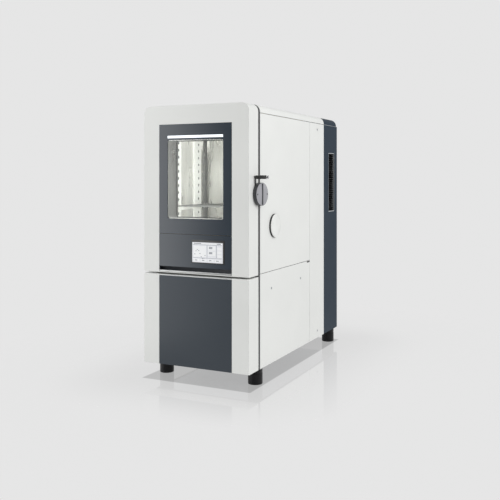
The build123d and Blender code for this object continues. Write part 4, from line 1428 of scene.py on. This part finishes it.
@dataclass
class MachineRoom:
    """What stands in the lower compartment and the rear column."""

    def build(self) -> None:
        """Dress the machines."""
        dress(BLACK_IRON, "compressors")
        dress(COPPER, "refrigerant_pipes")
        dress(FIN_ALUMINIUM, "condenser_coil")
        dress(ZINC, "condenser_shroud")
        dress(BLACK_PLASTIC, "condenser_fan")
        dress(TANK_PLASTIC, "humidifier", "water_tank")
        dress(ZINC, "electrical_backplate")
        dress(MODULE_GREY, "electrical_modules")


@dataclass
class Studio:
    """Camera, lamps, floor and the pale room around the object."""

    sensor: float = 36.0
    view_end: float = 50.0
    floor_size: float = 24.0
    camera_at: Triple = (2.2081, -4.6298, 1.262)
    azimuth: float = 25.9
    lens: float = 52.65
    shift_up: float = -0.146
    room_tone: float = 0.79
    footprint: Span = (0.37, 0.78)
    floor_from: float = 0.3
    floor_reach: float = 1.6
    floor_base: float = 0.05
    floor_glow: float = 0.742
    under_shade: float = 0.64
    shade_reach: float = 0.015
    mirror_weight: float = 0.22
    mirror_reach: float = 0.70
    mirror_blur: float = 0.05
    fill_strength: float = 0.6
    glint_from: float = 0.50
    glint_to: float = 0.68
    glint_low: float = 0.10
    glint_high: float = 2.9

    def build(self) -> None:
        """Set up the camera, the room, the floor and the lamps."""
        scene = bpy.context.scene
        scene.view_settings.view_transform = "Standard"
        self.camera(scene)
        self.room(scene)
        self.floor()
        self.lamps()

    def camera(self, scene: bpy.types.Scene) -> None:
        """Place the level camera at the photograph's angle.

        Args:
            scene: the scene that it looks at.
        """
        data = bpy.data.cameras.new("camera")
        data.lens = self.lens
        data.sensor_width = self.sensor
        data.shift_y = self.shift_up
        data.clip_end = self.view_end
        holder = bpy.data.objects.new("camera", data)
        scene.collection.objects.link(holder)
        holder.location = self.camera_at
        holder.rotation_euler = (math.pi / 2, 0.0, math.radians(self.azimuth))
        scene.camera = holder

    def room(self, scene: bpy.types.Scene) -> None:
        """Give the world a plain tone for the eye, soft light, and a graded tone for reflections.

        Args:
            scene: the scene that gets the world.
        """
        world = bpy.data.worlds.new("room")
        scene.world = world
        world.use_nodes = True
        world.node_tree.nodes.clear()
        shelf = Shelf(world.node_tree)
        seen = self.tone(shelf, self.room_tone, 1.0)
        lit = self.tone(shelf, 1.0, self.fill_strength)
        parts = shelf.split(shelf.add("ShaderNodeTexCoord").outputs["Generated"])
        side = shelf.math("DIVIDE", parts.outputs["X"], parts.outputs["Y"])
        glint = (self.glint_low, self.glint_high, self.glint_from, self.glint_to)
        strength = shelf.add("ShaderNodeMix", {"B": self.room_tone}, data_type="FLOAT")
        shelf.join(shelf.math("GREATER_THAN", parts.outputs["Y"], 0.0), strength.inputs["Factor"])
        shelf.join(shelf.span(side, *glint, smooth=True), strength.inputs["A"])
        mirrored = shelf.add("ShaderNodeBackground")
        shelf.join(strength.outputs["Result"], mirrored.inputs["Strength"])
        path = shelf.add("ShaderNodeLightPath")
        light = shelf.blend(path.outputs["Is Glossy Ray"], lit, mirrored.outputs["Background"])
        shelf.show(shelf.blend(path.outputs["Is Camera Ray"], light, seen), "ShaderNodeOutputWorld")

    def tone(self, shelf: Shelf, grey: float, strength: float) -> Socket:
        """Add one plain background.

        Args:
            shelf: the world's tree.
            grey: its tone.
            strength: its strength.

        Returns:
            Its output.
        """
        values = {"Color": (grey, grey, grey, 1.0), "Strength": strength}
        return shelf.add("ShaderNodeBackground", values).outputs["Background"]

    def floor(self) -> None:
        """Lay a pale, slightly glossy floor that fades into the room."""
        bpy.ops.object.select_all(action="DESELECT")
        bpy.ops.mesh.primitive_plane_add(size=self.floor_size, location=(0.0, 0.0, 0.0))
        floor = bpy.context.object
        floor.name = "studio_floor"
        material, shelf = start_material("studio_floor")
        values = {
            "Base Color": (*(self.floor_base,) * 3, 1.0),
            "Roughness": 1.0,
            "Specular IOR Level": 0.0,
            "Emission Color": (1.0, 1.0, 1.0, 1.0),
        }
        plain = shelf.add("ShaderNodeBsdfPrincipled", values)
        mirror = shelf.add("ShaderNodeBsdfGlossy", {"Roughness": self.mirror_blur})
        gap = self.footprint_gap(shelf, shelf.add("ShaderNodeTexCoord").outputs["Object"])
        glow = (self.floor_glow * self.under_shade, self.floor_glow)
        shade = shelf.span(gap, *glow, end=self.shade_reach, smooth=True)
        shelf.join(shade, plain.inputs["Emission Strength"])
        shine = shelf.span(gap, self.mirror_weight, 0.0, end=self.mirror_reach, smooth=True)
        glossed = shelf.blend(shine, plain.outputs["BSDF"], mirror.outputs["BSDF"])
        clear = shelf.add("ShaderNodeBsdfTransparent").outputs["BSDF"]
        fade = shelf.span(gap, 0.0, 1.0, self.floor_from, self.floor_reach, True)
        shelf.show(shelf.blend(fade, glossed, clear))
        floor.data.materials.append(material)

    def footprint_gap(self, shelf: Shelf, spot: Socket) -> Socket:
        """Measure how far a point of the floor lies from the object's footprint.

        Args:
            shelf: the floor's tree.
            spot: the point.

        Returns:
            The distance, 0 under the object.
        """
        parts = shelf.split(spot)
        flat = shelf.add("ShaderNodeCombineXYZ")
        low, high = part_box("rear_cover")
        middle = {"X": (low.x + high.x) / 2, "Y": 0.0}
        for axis, half in (("X", self.footprint[0]), ("Y", self.footprint[1])):
            size = shelf.add("ShaderNodeMath", operation="ABSOLUTE")
            shelf.join(shelf.math("SUBTRACT", parts.outputs[axis], middle[axis]), size.inputs[0])
            beyond = shelf.math("SUBTRACT", size.outputs[0], half)
            shelf.join(shelf.math("MAXIMUM", beyond, 0.0), flat.inputs[axis])
        length = shelf.add("ShaderNodeVectorMath", operation="LENGTH")
        shelf.join(flat.outputs[0], length.inputs[0])
        return length.outputs["Value"]

    def lamp(
        self, name: str, at: Triple, aim: Triple, size: Span, power: float, mirrored: bool = False
    ) -> None:
        """Hang one soft box.

        Args:
            name: the lamp's name.
            at: where it hangs.
            aim: the point it faces.
            size: its width and height.
            power: its power in watts.
            mirrored: whether it shows in reflections.
        """
        data = bpy.data.lights.new(name, "AREA")
        data.shape = "RECTANGLE"
        data.size, data.size_y = size
        data.energy = power
        holder = bpy.data.objects.new(name, data)
        bpy.context.scene.collection.objects.link(holder)
        holder.location = at
        turn = (Vector(aim) - Vector(at)).to_track_quat("-Z", "Y")
        holder.rotation_euler = turn.to_euler()
        holder.visible_glossy = mirrored
        holder.visible_transmission = mirrored

    def lamps(self) -> None:
        """Hang the lamps: a broad key from the right, a weak fill, and one inside."""
        self.lamp("key", (4.5, -1.0, 3.0), (0.2, 0.0, 0.8), (3.0, 3.0), 110.0)
        self.lamp("front_fill", (-3.0, -4.5, 2.4), (0.0, -0.5, 1.0), (1.6, 2.2), 62.0)
        self.lamp("inside_top", (-0.0345, -0.50, 1.585), (-0.0345, -0.42, 1.0), (0.45, 0.22), 1.5, True)
        self.lamp("inside_front", (-0.0345, -0.60, 1.15), (-0.0345, 0.0, 1.15), (0.30, 0.40), 3.4)


def main() -> None:
    """Build every sub-assembly in order."""
    for assembly in (
        Cabinet(),
        RearColumn(),
        ChamberDoor(),
        RotaryHandle(),
        CablePort(),
        TestSpace(),
        ServiceDoor(),
        MachineRoom(),
        Studio(),
    ):
        assembly.build()
        log.info("built %s", type(assembly).__name__)


if __name__ == "__main__":
    main()
